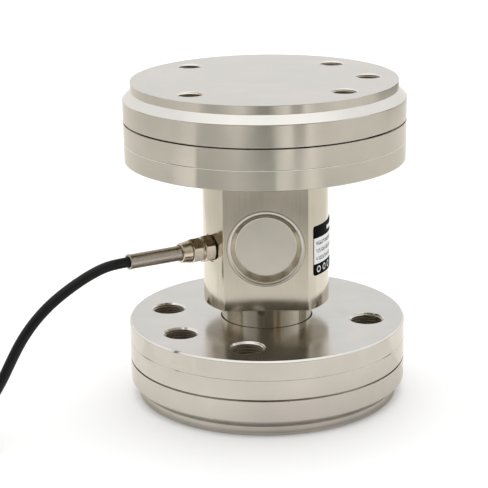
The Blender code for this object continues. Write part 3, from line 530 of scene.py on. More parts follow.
def hexagon(gland, across, start, end):
    """A hexagon bar along Z, turned from a corner on +X, its corners turned down at both ends."""
    corner = across / math.sqrt(3)
    turn = Matrix.Rotation(math.radians(30 + gland.hexagon_turn), 3, "Z")
    bm = bmesh.new()
    bmesh.ops.create_cone(
        bm, cap_ends=True, segments=6, radius1=corner, radius2=corner, depth=end - start
    )
    bmesh.ops.rotate(bm, cent=(0, 0, 0), matrix=turn, verts=bm.verts)
    bmesh.ops.translate(bm, vec=(0, 0, (start + end) / 2), verts=bm.verts)
    upright = [edge for edge in bm.edges if abs(edge.verts[0].co.z - edge.verts[1].co.z) > WELD]
    bmesh.ops.bevel(
        bm,
        geom=upright,
        offset=gland.hexagon_corner,
        segments=3,
        profile=0.5,
        affect="EDGES",
        material=-1,
    )
    reach = corner + CUT_PAST
    drop = (reach - across / 2) * gland.hexagon_slope
    face = across / 2 - gland.bore_edge
    lathe = spun(
        (
            (0.0, end, 0.0),
            (face, end, gland.bore_edge),
            (reach, end - drop, 0.0),
            (reach, start + drop, 0.0),
            (face, start, gland.bore_edge),
            (0.0, start, 0.0),
        ),
        gland.segments,
    )
    return boolean(bm, lathe, "INTERSECT")


def boolean(base, tool, operation="DIFFERENCE"):
    """The result of a Boolean between two bmeshes, which are used up."""
    meshes = []
    things = []
    for number, part in enumerate((base, tool)):
        mesh = bpy.data.meshes.new(f"boolean_{number}")
        part.to_mesh(mesh)
        part.free()
        thing = bpy.data.objects.new(mesh.name, mesh)
        bpy.context.scene.collection.objects.link(thing)
        meshes.append(mesh)
        things.append(thing)
    modifier = things[0].modifiers.new("boolean", "BOOLEAN")
    modifier.operation = operation
    modifier.solver = "EXACT"
    modifier.object = things[1]
    graph = bpy.context.evaluated_depsgraph_get()
    result = bmesh.new()
    result.from_mesh(things[0].evaluated_get(graph).to_mesh())
    for thing in things:
        bpy.data.objects.remove(thing, do_unlink=True)
    for mesh in meshes:
        bpy.data.meshes.remove(mesh)
    return result


def piece(name, bm, materials, nodes, matrix=Matrix()):
    """A finished piece from a bmesh: placed in its mesh, shaded, and riding on the root body."""
    bmesh.ops.transform(bm, matrix=matrix, verts=bm.verts)
    mesh = bpy.data.meshes.new(name)
    bm.to_mesh(mesh)
    bm.free()
    mesh.shade_smooth()
    mesh.set_sharp_from_angle(angle=math.radians(SHARP_ANGLE))
    for material in materials:
        mesh.materials.append(material)
    thing = bpy.data.objects.new(name, mesh)
    bpy.context.scene.collection.objects.link(thing)
    level = thing.modifiers.new("flat faces stay flat", "WEIGHTED_NORMAL")
    level.keep_sharp = True
    level.weight = 100
    finish_piece(thing, nodes)


def finish_piece(thing, nodes):
    """The piece rides on the root body, in place of its nodes, which are hidden."""
    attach(thing, "root")
    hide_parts(*nodes)


def refinish(name, material):
    """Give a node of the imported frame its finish."""
    materials = bpy.data.objects[name].data.materials
    materials.clear()
    materials.append(material)


def smooth_points(route, spacing):
    """Points a set distance apart on a smooth curve through the route's points."""
    route = [Vector(point) for point in route]
    guides = [2 * route[0] - route[1]] + route + [2 * route[-1] - route[-2]]
    fine = []
    steps = 12
    for before, start, end, after in zip(guides, guides[1:], guides[2:], guides[3:]):
        for step in range(steps):
            t = step / steps
            straight = 2 * start + (end - before) * t
            bend = (2 * before - 5 * start + 4 * end - after) * t**2
            twist = (3 * start - before - 3 * end + after) * t**3
            fine.append(0.5 * (straight + bend + twist))
    fine.append(route[-1])
    lengths = [0.0]
    for first, second in zip(fine, fine[1:]):
        lengths.append(lengths[-1] + (second - first).length)
    count = max(2, round(lengths[-1] / spacing))
    points = []
    index = 0
    for number in range(count + 1):
        wanted = lengths[-1] * number / count
        while index < len(fine) - 2 and lengths[index + 1] < wanted:
            index += 1
        share = (wanted - lengths[index]) / (lengths[index + 1] - lengths[index])
        points.append(fine[index].lerp(fine[index + 1], min(share, 1.0)))
    return points


def tube(name, points, diameter, material, nodes, slot):
    """A round cord through the points, as a curve with filled ends."""
    curve = bpy.data.curves.new(name, "CURVE")
    curve.dimensions = "3D"
    curve.bevel_depth = diameter / 2
    curve.bevel_resolution = 4
    curve.use_fill_caps = True
    curve.resolution_u = 1
    spline = curve.splines.new("POLY")
    spline.points.add(len(points) - 1)
    for target, point in zip(spline.points, points):
        target.co = (*point, 1.0)
    curve.materials.append(material)
    thing = bpy.data.objects.new(name, curve)
    bpy.context.scene.collection.objects.link(thing)
    finish_piece(thing, nodes)
    return thing


# Materials


class Shader:
    """A material's node tree, with short calls for the nodes that the finishes share."""

    def __init__(self, name, base, roughness, metallic=0.0):
        self.material = bpy.data.materials.new(name)
        self.material.use_nodes = True
        self.tree = self.material.node_tree
        self.bsdf = self.tree.nodes["Principled BSDF"]
        self.bsdf.inputs["Base Color"].default_value = (*base, 1.0)
        self.bsdf.inputs["Roughness"].default_value = roughness
        self.bsdf.inputs["Metallic"].default_value = metallic
        if metallic:
            self.bsdf.inputs["Specular Tint"].default_value = (0.92, 0.90, 0.87, 1.0)
        self.coordinates = self.add("ShaderNodeTexCoord").outputs["Object"]

    def add(self, kind, **values):
        node = self.tree.nodes.new(kind)
        for key, value in values.items():
            setattr(node, key, value)
        return node

    def link(self, output, target):
        self.tree.links.new(output, target)

    def math(self, operation, first, second=0.0):
        node = self.add("ShaderNodeMath", operation=operation)
        for socket, value in zip(node.inputs, (first, second)):
            if isinstance(value, (int, float)):
                socket.default_value = value
            else:
                self.link(value, socket)
        return node.outputs[0]

    def noise(self, scale, detail=2.0, roughness=0.5, stretch=(1, 1, 1), coordinates=None):
        mapping = self.add("ShaderNodeMapping")
        mapping.inputs["Scale"].default_value = stretch
        self.link(coordinates or self.coordinates, mapping.inputs["Vector"])
        noise = self.add("ShaderNodeTexNoise")
        noise.inputs["Scale"].default_value = scale
        noise.inputs["Detail"].default_value = detail
        noise.inputs["Roughness"].default_value = roughness
        self.link(mapping.outputs[0], noise.inputs["Vector"])
        return noise.outputs["Fac"]

    def span(self, value, low, high, from_low=0.0, from_high=1.0):
        node = self.add("ShaderNodeMapRange")
        node.inputs["From Min"].default_value = from_low
        node.inputs["From Max"].default_value = from_high
        node.inputs["To Min"].default_value = low
        node.inputs["To Max"].default_value = high
        self.link(value, node.inputs["Value"])
        return node.outputs["Result"]

    def share(self, value, low=NOISE_LOW, high=NOISE_HIGH):
        """0 where the value is low, 1 where it is high."""
        return self.span(value, 0.0, 1.0, low, high)

    def weigh(self, first, second, weight):
        """The sum of two values, the first with this weight and the second with the rest."""
        rest = self.math("MULTIPLY", second, 1.0 - weight)
        return self.math("ADD", self.math("MULTIPLY", first, weight), rest)

    def mix(self, kind, first, second):
        node = self.add("ShaderNodeMix", data_type="RGBA", blend_type=kind)
        for name, shade in (("A", first), ("B", second)):
            if isinstance(shade, tuple):
                node.inputs[name].default_value = (*shade, 1.0)
            else:
                self.link(shade, node.inputs[name])
        return node

    def blend(self, first, second, factor):
        """From the first colour to the second by a factor."""
        node = self.mix("MIX", first, second)
        self.link(factor, node.inputs["Factor"])
        return node.outputs["Result"]

    def multiply(self, first, second):
        """The product of two colours."""
        node = self.mix("MULTIPLY", first, second)
        node.inputs["Factor"].default_value = 1.0
        return node.outputs["Result"]

    def tint(self, factor, dark, light):
        """Base colour from dark to light by a factor."""
        self.link(self.blend(dark, light, factor), self.bsdf.inputs["Base Color"])

    def vary_roughness(self, value, roughness, smooth, rough):
        """Roughness between two multiples of its middle value, by a noise."""
        result = self.span(value, roughness * smooth, roughness * rough, NOISE_LOW, NOISE_HIGH)
        self.link(result, self.bsdf.inputs["Roughness"])

    def bump(self, height, strength, distance):
        node = self.add("ShaderNodeBump")
        node.inputs["Strength"].default_value = strength
        node.inputs["Distance"].default_value = distance
        self.link(height, node.inputs["Height"])
        self.link(node.outputs["Normal"], self.bsdf.inputs["Normal"])


def scaled(base, factor):
    return tuple(min(1.0, channel * factor) for channel in base)


def fill_ramp(ramp, stops):
    """Fill a colour ramp, which spans a full turn, from (heading in degrees, grey) stops."""
    while len(ramp.elements) > 1:
        ramp.elements.remove(ramp.elements[-1])
    for number, (heading, grey) in enumerate(stops):
        share = (heading + 180) / 360
        element = ramp.elements[0] if number == 0 else ramp.elements.new(share)
        element.position = share
        element.color = (grey, grey, grey, 1.0)


def turned_steel(name, base, roughness, stretch=0.0):
    """Steel off a lathe: fine rings round Z, a sheen drawn across them and a few faint blotches."""
    shader = Shader(name, base, roughness, 1.0)
    split = shader.add("ShaderNodeSeparateXYZ")
    shader.link(shader.coordinates, split.inputs[0])
    x, y, z = split.outputs
    squares = shader.math("ADD", shader.math("POWER", x, 2), shader.math("POWER", y, 2))
    across = shader.math("SQRT", squares)
    rings = shader.add("ShaderNodeCombineXYZ")
    shader.link(across, rings.inputs[0])
    shader.link(z, rings.inputs[2])
    fine = shader.noise(2600.0, 3.0, 0.6, (1, 1, 1), rings.outputs[0])
    broad = shader.noise(420.0, 2.0, 0.5, (1, 1, 1), rings.outputs[0])
    cloud = shader.noise(38.0, 4.0, 0.6)
    lines = shader.weigh(fine, broad, 0.6)
    sheen = shader.weigh(lines, cloud, 0.4)
    shader.vary_roughness(sheen, roughness, 0.8, 1.3)
    greenish = (base[0] * 0.93, base[1] * 0.95, base[2] * 0.94)
    pinkish = (base[0] * 1.06, base[1] * 1.03, base[2] * 1.04)
    shader.tint(shader.share(cloud, 0.32, 0.68), greenish, pinkish)
    shader.bump(lines, 0.04, 0.00002)
    if stretch:
        tangent = shader.add("ShaderNodeTangent", direction_type="RADIAL", axis="Z")
        shader.link(tangent.outputs[0], shader.bsdf.inputs["Tangent"])
        shader.bsdf.inputs["Anisotropic"].default_value = stretch
        shader.bsdf.inputs["Anisotropic Rotation"].default_value = 0.25
    return shader.material


def milled_steel(name, base, roughness):
    """Steel with a fine ground grain up and down, and soft clouds."""
    shader = Shader(name, base, roughness, 1.0)
    grain = shader.noise(900.0, 3.0, 0.6, (1, 1, 0.06))
    cloud = shader.noise(45.0, 3.0, 0.55)
    sheen = shader.weigh(grain, cloud, 0.4)
    shader.vary_roughness(sheen, roughness, 0.8, 1.3)
    shader.tint(shader.share(sheen, 0.35, 0.65), scaled(base, 0.93), scaled(base, 1.05))
    shader.bump(grain, 0.04, 0.00002)
    return shader.material


def pressed_steel(name, base, roughness):
    """Satin sheet steel, smooth but for a fine grain and faint clouds."""
    shader = Shader(name, base, roughness, 1.0)
    grain = shader.noise(1800.0, 2.0, 0.5)
    cloud = shader.noise(70.0, 2.0, 0.5)
    shader.vary_roughness(cloud, roughness, 0.9, 1.15)
    shader.tint(shader.share(cloud), scaled(base, 0.97), scaled(base, 1.03))
    shader.bump(grain, 0.03, 0.00001)
    return shader.material


def plated_brass(name, base, roughness):
    """Bright plating with soft unevenness and a warm cast in its thin places."""
    shader = Shader(name, base, roughness, 1.0)
    cloud = shader.noise(260.0, 3.0, 0.6)
    shader.vary_roughness(cloud, roughness, 0.8, 1.4)
    warm = (base[0] * 1.02, base[1] * 0.97, base[2] * 0.88)
    shader.tint(shader.share(cloud), warm, scaled(base, 1.05))
    shader.bump(cloud, 0.08, 0.00005)
    return shader.material


def moulded(name, base, roughness, grain=700.0, strength=0.15, gloss=0.5):
    """Rubber or plastic with a fine grain."""
    shader = Shader(name, base, roughness)
    shader.bsdf.inputs["Specular IOR Level"].default_value = gloss
    texture = shader.noise(grain, 3.0, 0.6)
    cloud = shader.noise(60.0, 2.0, 0.5)
    shader.vary_roughness(cloud, roughness, 0.85, 1.2)
    shader.tint(shader.share(texture), scaled(base, 0.85), scaled(base, 1.15))
    shader.bump(texture, strength, 0.0001)
    return shader.material


def gland_direction(settings):
    angle = math.radians(180 + settings.turn)
    return Vector((math.cos(angle), math.sin(angle), 0.0))


def outward_matrix(axis, height):
    """Z along the axis, outward from the column at this height, and X up."""
    up = Vector((0, 0, 1))
    basis = Matrix((up, axis.cross(up), axis)).transposed().to_4x4()
    return Matrix.Translation((0, 0, height)) @ basis


def gland_matrix(settings):
    return outward_matrix(gland_direction(settings), settings.height)


def face_matrix(sense):
    """The frame of the flat toward -Y or +Y."""
    return outward_matrix(Vector((0, sense, 0)), MID_HEIGHT)


def end_matrix(upper, ends):
    """Z = 0 at the joint of flange and load plate, +Z outward."""
    if upper:
        height, turn, tilt = UPPER_JOINT, ends.upper_turn, 0.0
    else:
        height, turn, tilt = LOWER_JOINT, ends.lower_turn, math.pi
    move = Matrix.Translation((0, 0, height)) @ Matrix.Rotation(math.radians(turn), 4, "Z")
    return move @ Matrix.Rotation(tilt, 4, "X")


def side_half_angle(column):
    """Half the angle of the body's round side, from its middle to a flat."""
    return math.asin(FLAT_OFFSET / (column.body_diameter / 2))


def end_bore(column):
    """Radius of the bore round one of the column's ends."""
    return column.end_diameter / 2 + column.end_clearance


def pocket_radius(cover):
    """Radius of the pocket behind a cover."""
    return cover.opening / 2 + cover.sheet + cover.clearance


def gland_places(gland, column):
    """Where each gland piece starts, outward from the column's axis."""
    places = {"spot_face": column.body_diameter / 2 - column.spot_depth}
    places["washer"] = places["spot_face"] + GAP
    places["body"] = places["washer"] + gland.washer_thickness + GAP
    places["collar"] = places["body"] + gland.body_length
    places["tube"] = places["collar"] + gland.collar_length
    places["nut"] = places["tube"] + GAP
    places["ferrule"] = places["nut"] + gland.nut_length + GAP
    places["sleeve_free"] = places["ferrule"] + gland.ferrule_length
    places["sleeve"] = places["sleeve_free"] - gland.sleeve_hold
    places["tip"] = places["sleeve_free"] + gland.sleeve_length
    return places


# Pieces


class LOADCELL_OT_stage(bpy.types.Operator):
    """Make the floor, the lamps, the room, the camera, and the table and cards that the steel mirrors"""

    bl_idname = "load_cell.stage"
    bl_label = "Stage"

    def execute(self, context):
        stage = context.scene.load_cell_stage
        key = (stage.key_width, stage.key_depth)
        back = (stage.back_width, stage.back_width)
        self.make_camera(context.scene, stage)
        self.make_floor(stage)
        self.make_lamp("overhead_light", stage.key_strength, key, stage.key_place)
        self.make_lamp("back_light", stage.back_strength, back, stage.back_place)
        self.make_room(context.scene, stage)
        self.make_table_flag(stage)
        self.make_camera_flag(stage)
        self.make_coil_glow_card(stage)
        context.scene.view_settings.view_transform = "Standard"
        return {"FINISHED"}

    def make_camera(self, scene, stage):
        yaw = math.radians(stage.camera_yaw)
        pitch = math.radians(stage.camera_pitch)
        roll = math.radians(stage.camera_roll)
        level = Vector((-math.sin(yaw), math.cos(yaw), 0.0))
        forward = level * math.cos(pitch) - Vector((0, 0, math.sin(pitch)))
        right = forward.cross(Vector((0, 0, 1))).normalized()
        up = right.cross(forward)
        x_axis = right * math.cos(roll) - up * math.sin(roll)
        y_axis = right * math.sin(roll) + up * math.cos(roll)
        basis = Matrix((x_axis, y_axis, -forward)).transposed().to_4x4()
        camera = bpy.data.objects.new("camera", bpy.data.cameras.new("camera"))
        camera.data.sensor_width = 36.0
        camera.data.lens = stage.lens
        camera.data.clip_start = 0.01
        camera.data.clip_end = 50.0
        camera.matrix_world = Matrix.Translation(stage.camera_place) @ basis
        scene.collection.objects.link(camera)
        scene.camera = camera

    def matt(self, name, base):
        """A shader for a surface without a shine."""
        shader = Shader(name, base, 0.9)
        shader.bsdf.inputs["Specular IOR Level"].default_value = 0.1
        return shader

    def sheet(self, name, bm, shader):
        """A stage object from a bmesh."""
        mesh = bpy.data.meshes.new(name)
        bm.to_mesh(mesh)
        bm.free()
        mesh.materials.append(shader.material)
        thing = bpy.data.objects.new(name, mesh)
        bpy.context.scene.collection.objects.link(thing)
        return thing

    def make_floor(self, stage):
        bm = bmesh.new()
        bmesh.ops.create_circle(bm, cap_ends=True, segments=96, radius=stage.floor_radius)
        floor = self.sheet("floor", bm, self.matt("floor_paper", tuple(stage.floor_colour)))
        floor.location.z = -stage.floor_drop

    def make_lamp(self, name, brightness, sides, place):
        """A softbox that faces down, whose surface has the given brightness."""
        lamp = bpy.data.lights.new(name, "AREA")
        lamp.shape = "RECTANGLE"
        lamp.size, lamp.size_y = sides
        lamp.energy = brightness * math.pi * sides[0] * sides[1]
        thing = bpy.data.objects.new(name, lamp)
        thing.location = place
        thing.visible_glossy = False
        bpy.context.scene.collection.objects.link(thing)

    def make_flag(self, name, bm, shader):
        """A studio flag: a card that shapes the reflections in the steel and nothing else."""
        flag = self.sheet(name, bm, shader)
        flag.visible_camera = False
        flag.visible_diffuse = False
        flag.visible_shadow = False
        flag.visible_transmission = False

    def heading_ramp(self, shader, stops):
        """Greys by heading round the Z axis, 0 toward the camera and growing to the right."""
        split = shader.add("ShaderNodeSeparateXYZ")
        shader.link(shader.coordinates, split.inputs[0])
        toward_camera = shader.math("MULTIPLY", split.outputs["Y"], -1.0)
        heading = shader.math("ARCTAN2", split.outputs["X"], toward_camera)
        ramp = shader.add("ShaderNodeValToRGB")
        fill_ramp(ramp.color_ramp, stops)
        shader.link(shader.share(heading, -math.pi, math.pi), ramp.inputs[0])
        return ramp.outputs["Color"]

    def make_table_flag(self, stage):
        """The grey table round the white sweep: rings of greys by heading."""
        shader = self.matt("table_flag", (0.6, 0.6, 0.6))
        length = shader.add("ShaderNodeVectorMath", operation="LENGTH")
        shader.link(shader.coordinates, length.inputs[0])
        distance = length.outputs["Value"]
        greys = None
        for begins, full, stops in TABLE_RINGS:
            ring = self.heading_ramp(shader, stops)
            if greys is None:
                greys = ring
            else:
                greys = shader.blend(greys, ring, shader.share(distance, begins, full))
        outward = shader.share(distance, stage.tint_start, stage.tint_end)
        cast = shader.blend(tuple(stage.table_near), tuple(stage.table_far), outward)
        shader.link(shader.multiply(greys, cast), shader.bsdf.inputs["Base Color"])
        bm = bmesh.new()
        bm.faces.new([bm.verts.new((x, y, stage.table_height)) for x, y in TABLE_OUTLINE])
        self.make_flag("table_flag", bm, shader)

    def make_coil_glow_card(self, stage):
        """A card between the object and the coiled cable, which keeps the coil out of the steel: it glows
        white by its own emission, a painted reflection where the coil's would be.
        """
        shader = Shader("coil_glow_card", (0.0, 0.0, 0.0), 0.9)
        # The card glows with its own emission, which paints its white reflection.
        shader.bsdf.inputs["Emission Color"].default_value = (1.0, 1.0, 1.0, 1.0)
        shader.bsdf.inputs["Emission Strength"].default_value = 1.0
        turn = math.radians(180 + stage.card_turn)
        toward_coil = Vector((math.cos(turn), math.sin(turn), 0.0))
        half_width = Vector((toward_coil.y, -toward_coil.x, 0.0)) * stage.card_width / 2
        rise = Vector((0, 0, stage.card_height))
        foot = toward_coil * stage.card_distance
        corners = (foot - half_width, foot + half_width, foot + half_width + rise, foot - half_width + rise)
        bm = bmesh.new()
        bm.faces.new([bm.verts.new(corner) for corner in corners])
        self.make_flag("coil_glow_card", bm, shader)

    def make_camera_flag(self, stage):
        """The dim things round the table, darkest where the camera stands."""
        shader = self.matt("camera_flag", (0.1, 0.1, 0.1))
        greys = self.heading_ramp(shader, ROOM_GREYS)
        tinted = shader.multiply(greys, tuple(stage.room_tint))
        shader.link(tinted, shader.bsdf.inputs["Base Color"])
        bm = bmesh.new()
        for start, end, height in ROOM_STRETCHES:
            verts = []
            for angle in self.arc(start, end):
                across = Vector((math.sin(angle), -math.cos(angle), 0.0)) * stage.room_distance
                verts.append(bm.verts.new(across + Vector((0, 0, stage.room_base))))
            edges = [bm.edges.new(pair) for pair in zip(verts, verts[1:])]
            raised = bmesh.ops.extrude_edge_only(bm, edges=edges)
            bmesh.ops.translate(bm, vec=(0, 0, height), verts=moved_verts(raised))
        self.make_flag("camera_flag", bm, shader)

    def arc(self, start, end):
        """Angles in radians from one heading to another."""
        steps = 22
        return [math.radians(start + (end - start) * step / steps) for step in range(steps + 1)]

    def make_room(self, scene, stage):
        """A room that is pale behind the object and at its sides, and dimmer behind the camera."""
        world = bpy.data.worlds.new("room")
        scene.world = world
        world.use_nodes = True
        tree = world.node_tree
        coordinates = tree.nodes.new("ShaderNodeTexCoord")
        split = tree.nodes.new("ShaderNodeSeparateXYZ")
        tree.links.new(coordinates.outputs["Generated"], split.inputs[0])
        backward = self.room_mix(tree, split.outputs["Y"], ROOM_BACKWARD, stage.room_back)
        backward.inputs["A"].default_value = (*stage.room_front, 1.0)
        upward = self.room_mix(tree, split.outputs["Z"], ROOM_UPWARD, stage.room_above)
        tree.links.new(backward.outputs["Result"], upward.inputs["A"])
        tree.links.new(upward.outputs["Result"], tree.nodes["Background"].inputs["Color"])

    def room_mix(self, tree, part, reach, shade):
        """A mix that comes to the shade as a part of the direction goes through its reach."""
        step = tree.nodes.new("ShaderNodeMapRange")
        step.interpolation_type = "SMOOTHSTEP"
        step.inputs["From Min"].default_value = reach[0]
        step.inputs["From Max"].default_value = reach[1]
        tree.links.new(part, step.inputs["Value"])
        mix = tree.nodes.new("ShaderNodeMix")
        mix.data_type = "RGBA"
        mix.inputs["B"].default_value = (*shade, 1.0)
        tree.links.new(step.outputs["Result"], mix.inputs["Factor"])
        return mix


class LOADCELL_OT_cable(bpy.types.Operator):
    """Make the cable with its coil, and give its strap and its stripped leads their finishes"""

    bl_idname = "load_cell.cable"
    bl_label = "Cable"

    def execute(self, context):
        cable = context.scene.load_cell_cable
        gland = context.scene.load_cell_gland
        along = gland_direction(gland)
        outer = cable.coil_mean / 2 + (cable.turns_across - 1) * cable.diameter / 2
        to_the_right = Vector((along.y, -along.x, 0.0))
        centre = along * CABLE_ROUTE[-1][0] + to_the_right * outer
        route = [along * distance + Vector((0, 0, height)) for distance, height in CABLE_ROUTE]
        points = smooth_points(route, cable.diameter / 2)
        points += self.coil_points(cable, centre, outer, math.radians(gland.turn - 90.0))
        jacket = moulded("cable_jacket", tuple(cable.jacket), 0.36, 900.0, 0.1, 0.22)
        nodes = ("cable", "cable_coil", "cable_tail")
        cord = tube("cable_cord", points, cable.diameter, jacket, nodes, "cable_jacket")
        refinish("coil_strap", moulded("strap_weave", (0.03, 0.03, 0.03), 0.85, 2500.0, 0.5))
        for name, shade in LEAD_COLOURS.items():
            refinish(name, moulded(f"{name}_jacket", shade, 0.4, 1500.0, 0.08))
        return {"FINISHED"}

    def coil_points(self, cable, centre, outer, start):
        """Turns laid side by side, layer on layer, then the last stretch that lies on top of them."""
        pitch = cable.diameter
        rise = pitch * math.sqrt(3) / 2
        turns = []
        for layer in range(cable.layers):
            odd = layer % 2
            radii = [outer - pitch * (number + odd / 2) for number in range(cable.turns_across - odd)]
            if odd:
                radii.reverse()
            level = cable.coil_base + pitch / 2 + layer * rise
            turns += [(radius, level) for radius in radii]
        top = (outer - pitch, turns[-1][1] + rise)
        points = []
        for (radius, level), following in zip(turns, turns[1:] + [top]):
            for step in range(1, cable.turn_points + 1):
                moved = step - (cable.turn_points - cable.shift_points)
                share = max(0.0, moved / cable.shift_points)
                blend = share * share * (3 - 2 * share)
                here = radius + (following[0] - radius) * blend
                height = level + (following[1] - level) * blend
                points.append(self.on_coil(cable, centre, start, step, here, height))
        for step in range(1, cable.last_points + 1):
            points.append(self.on_coil(cable, centre, start, step, *top))
        return points

    def on_coil(self, cable, centre, start, step, radius, height):
        """The point of the coil at a step of a turn."""
        angle = start - math.tau * step / cable.turn_points
        return centre + Vector((radius * math.cos(angle), radius * math.sin(angle), height))


class LOADCELL_OT_ends(bpy.types.Operator):
    """Make the flanges and the load plates with their tapped holes"""

    bl_idname = "load_cell.ends"
    bl_label = "Flanges and load plates"

    def execute(self, context):
        ends = context.scene.load_cell_ends
        column = context.scene.load_cell_column
        steel = context.scene.load_cell_steel
        rim = turned_steel("turned_rim", tuple(steel.rim), steel.rim_roughness, steel.rim_stretch)
        face = turned_steel("ground_face", tuple(steel.face), steel.face_roughness)
        thread = turned_steel("cut_thread", tuple(steel.thread), steel.thread_roughness)
        # The chamfers' lighter steel is in part a painted highlight.
        chamfer = turned_steel("cut_chamfer_and_highlight", tuple(steel.chamfer), steel.chamfer_roughness)
        materials = (rim, face, thread, chamfer)
        plate_hole = (ends.plate_core, ends.plate_pitch, ends.plate_mouth)
        flange_hole = (ends.flange_core, ends.flange_pitch, ends.flange_mouth)
        for side, upper in (("upper", True), ("lower", False)):
            matrix = end_matrix(upper, ends)
            plate = self.plate(ends, column)
            plate = self.drilled(plate, ends, plate_hole, UPPER_PLATE_GAP, PLATE_THICKNESS)
            self.name_finishes(plate, ends, upper)
            piece(f"{side}_plate", plate, materials, (f"{side}_load_plate",), matrix)
            flange = self.flange(ends, column, upper)
            flange = self.drilled(flange, ends, flange_hole, 0.0, -FLANGE_THICKNESS)
            self.name_finishes(flange, ends, upper)
            piece(f"{side}_ring", flange, materials, (f"{side}_flange",), matrix)
        return {"FINISHED"}

    def plate(self, ends, column):
        rim = ends.diameter / 2
        face = rim - ends.chamfer
        shoulder = PLATE_THICKNESS - ends.raised_face
        bore = end_bore(column)
        bore_end = COLUMN_TOP - UPPER_JOINT + column.end_clearance
        return spun(
            (
                (0.0, PLATE_THICKNESS, 0.0),
                (face, PLATE_THICKNESS, ends.face_edge),
                (face, shoulder, ends.edge),
                (rim, shoulder - ends.chamfer, ends.face_edge),
                (rim, UPPER_PLATE_GAP + ends.seam, ends.edge),
                (rim - ends.seam_depth, UPPER_PLATE_GAP + ends.seam, 0.0),
                (rim - ends.seam_depth, UPPER_PLATE_GAP, 0.0),
                (bore, UPPER_PLATE_GAP, 0.0),
                (bore, bore_end, 0.0),
                (0.0, bore_end, 0.0),
            ),
            ends.segments,
        )

    def flange(self, ends, column, upper):
        """A flange with a fine line round its rim, whose wide side faces up in its place."""
        rim = ends.diameter / 2
        low = -FLANGE_THICKNESS
        line = low / 2
        if upper:
            depth, above, below = ends.upper_line_depth, ends.line_step, ends.line_slope
            inner = ends.upper_inner_edge
        else:
            depth, above, below = ends.lower_line_depth, ends.line_slope, ends.line_step
            inner = ends.lower_inner_edge
        bore = end_bore(column)
        seat = column.neck_diameter / 2 + column.neck_clearance
        return spun(
            (
                (bore, 0.0, 0.0),
                (rim, 0.0, ends.edge),
                (rim, line + above, 0.0),
                (rim - depth, line, 0.0),
                (rim, line - below, 0.0),
                (rim, low + inner, ends.edge),
                (rim - inner, low, ends.edge),
                (seat, low, ends.seat_edge),
                (seat, low + column.neck_seat, 0.0),
                (bore, low + column.neck_seat, 0.0),
            ),
            ends.segments,
        )

    def drilled(self, disc, ends, hole, joint, face):
        """Cut the tapped holes from the joint to the open face, then the chamfers round their mouths."""
        core, pitch, mouth = hole
        circle = ends.diameter / 2 - ends.bolt_inset
        outward = math.copysign(1.0, face - joint)
        depth = (mouth - core) / 2 + CUT_PAST / 2
        cone = (
            (0.0, face + outward * CUT_PAST, 0.0),
            (mouth / 2 + CUT_PAST, face + outward * CUT_PAST, 0.0),
            (mouth / 2 - depth, face - outward * depth, 0.0),
            (0.0, face - outward * depth, 0.0),
        )
        threads = []
        mouths = []
        for angle in HOLE_ANGLES:
            place = Matrix.Rotation(math.radians(angle), 4, "Z") @ Matrix.Translation((circle, 0, 0))
            thread = helix_cutter(core, pitch, min(joint, face), max(joint, face))
            bmesh.ops.transform(thread, matrix=place, verts=thread.verts)
            threads.append(thread)
            mouths.append(spun(cone, ends.hole_segments, move=place))
        disc = boolean(disc, joined(threads))
        return boolean(disc, joined(mouths))

    def name_finishes(self, disc, ends, upper):
        """Slot 0 for turned faces, 1 for ground faces on top, 2 for the threads, 3 for the chamfers, whose
        lighter steel is in part a painted highlight.
        """
        disc.normal_update()
        circle = ends.diameter / 2 - ends.bolt_inset
        hole = ends.flange_mouth / 2 + HOLE_MARGIN
        for face in disc.faces:
            steepness = abs(face.normal.z)
            across = face.calc_center_median().to_2d()
            if steepness > FLAT_STEEPNESS:
                face.material_index = 1 if (face.normal.z > 0) == upper else 0
            elif CHAMFER_STEEPNESS[0] < steepness < CHAMFER_STEEPNESS[1]:
                face.material_index = 3
            elif abs(across.length - circle) < hole:
                face.material_index = 2


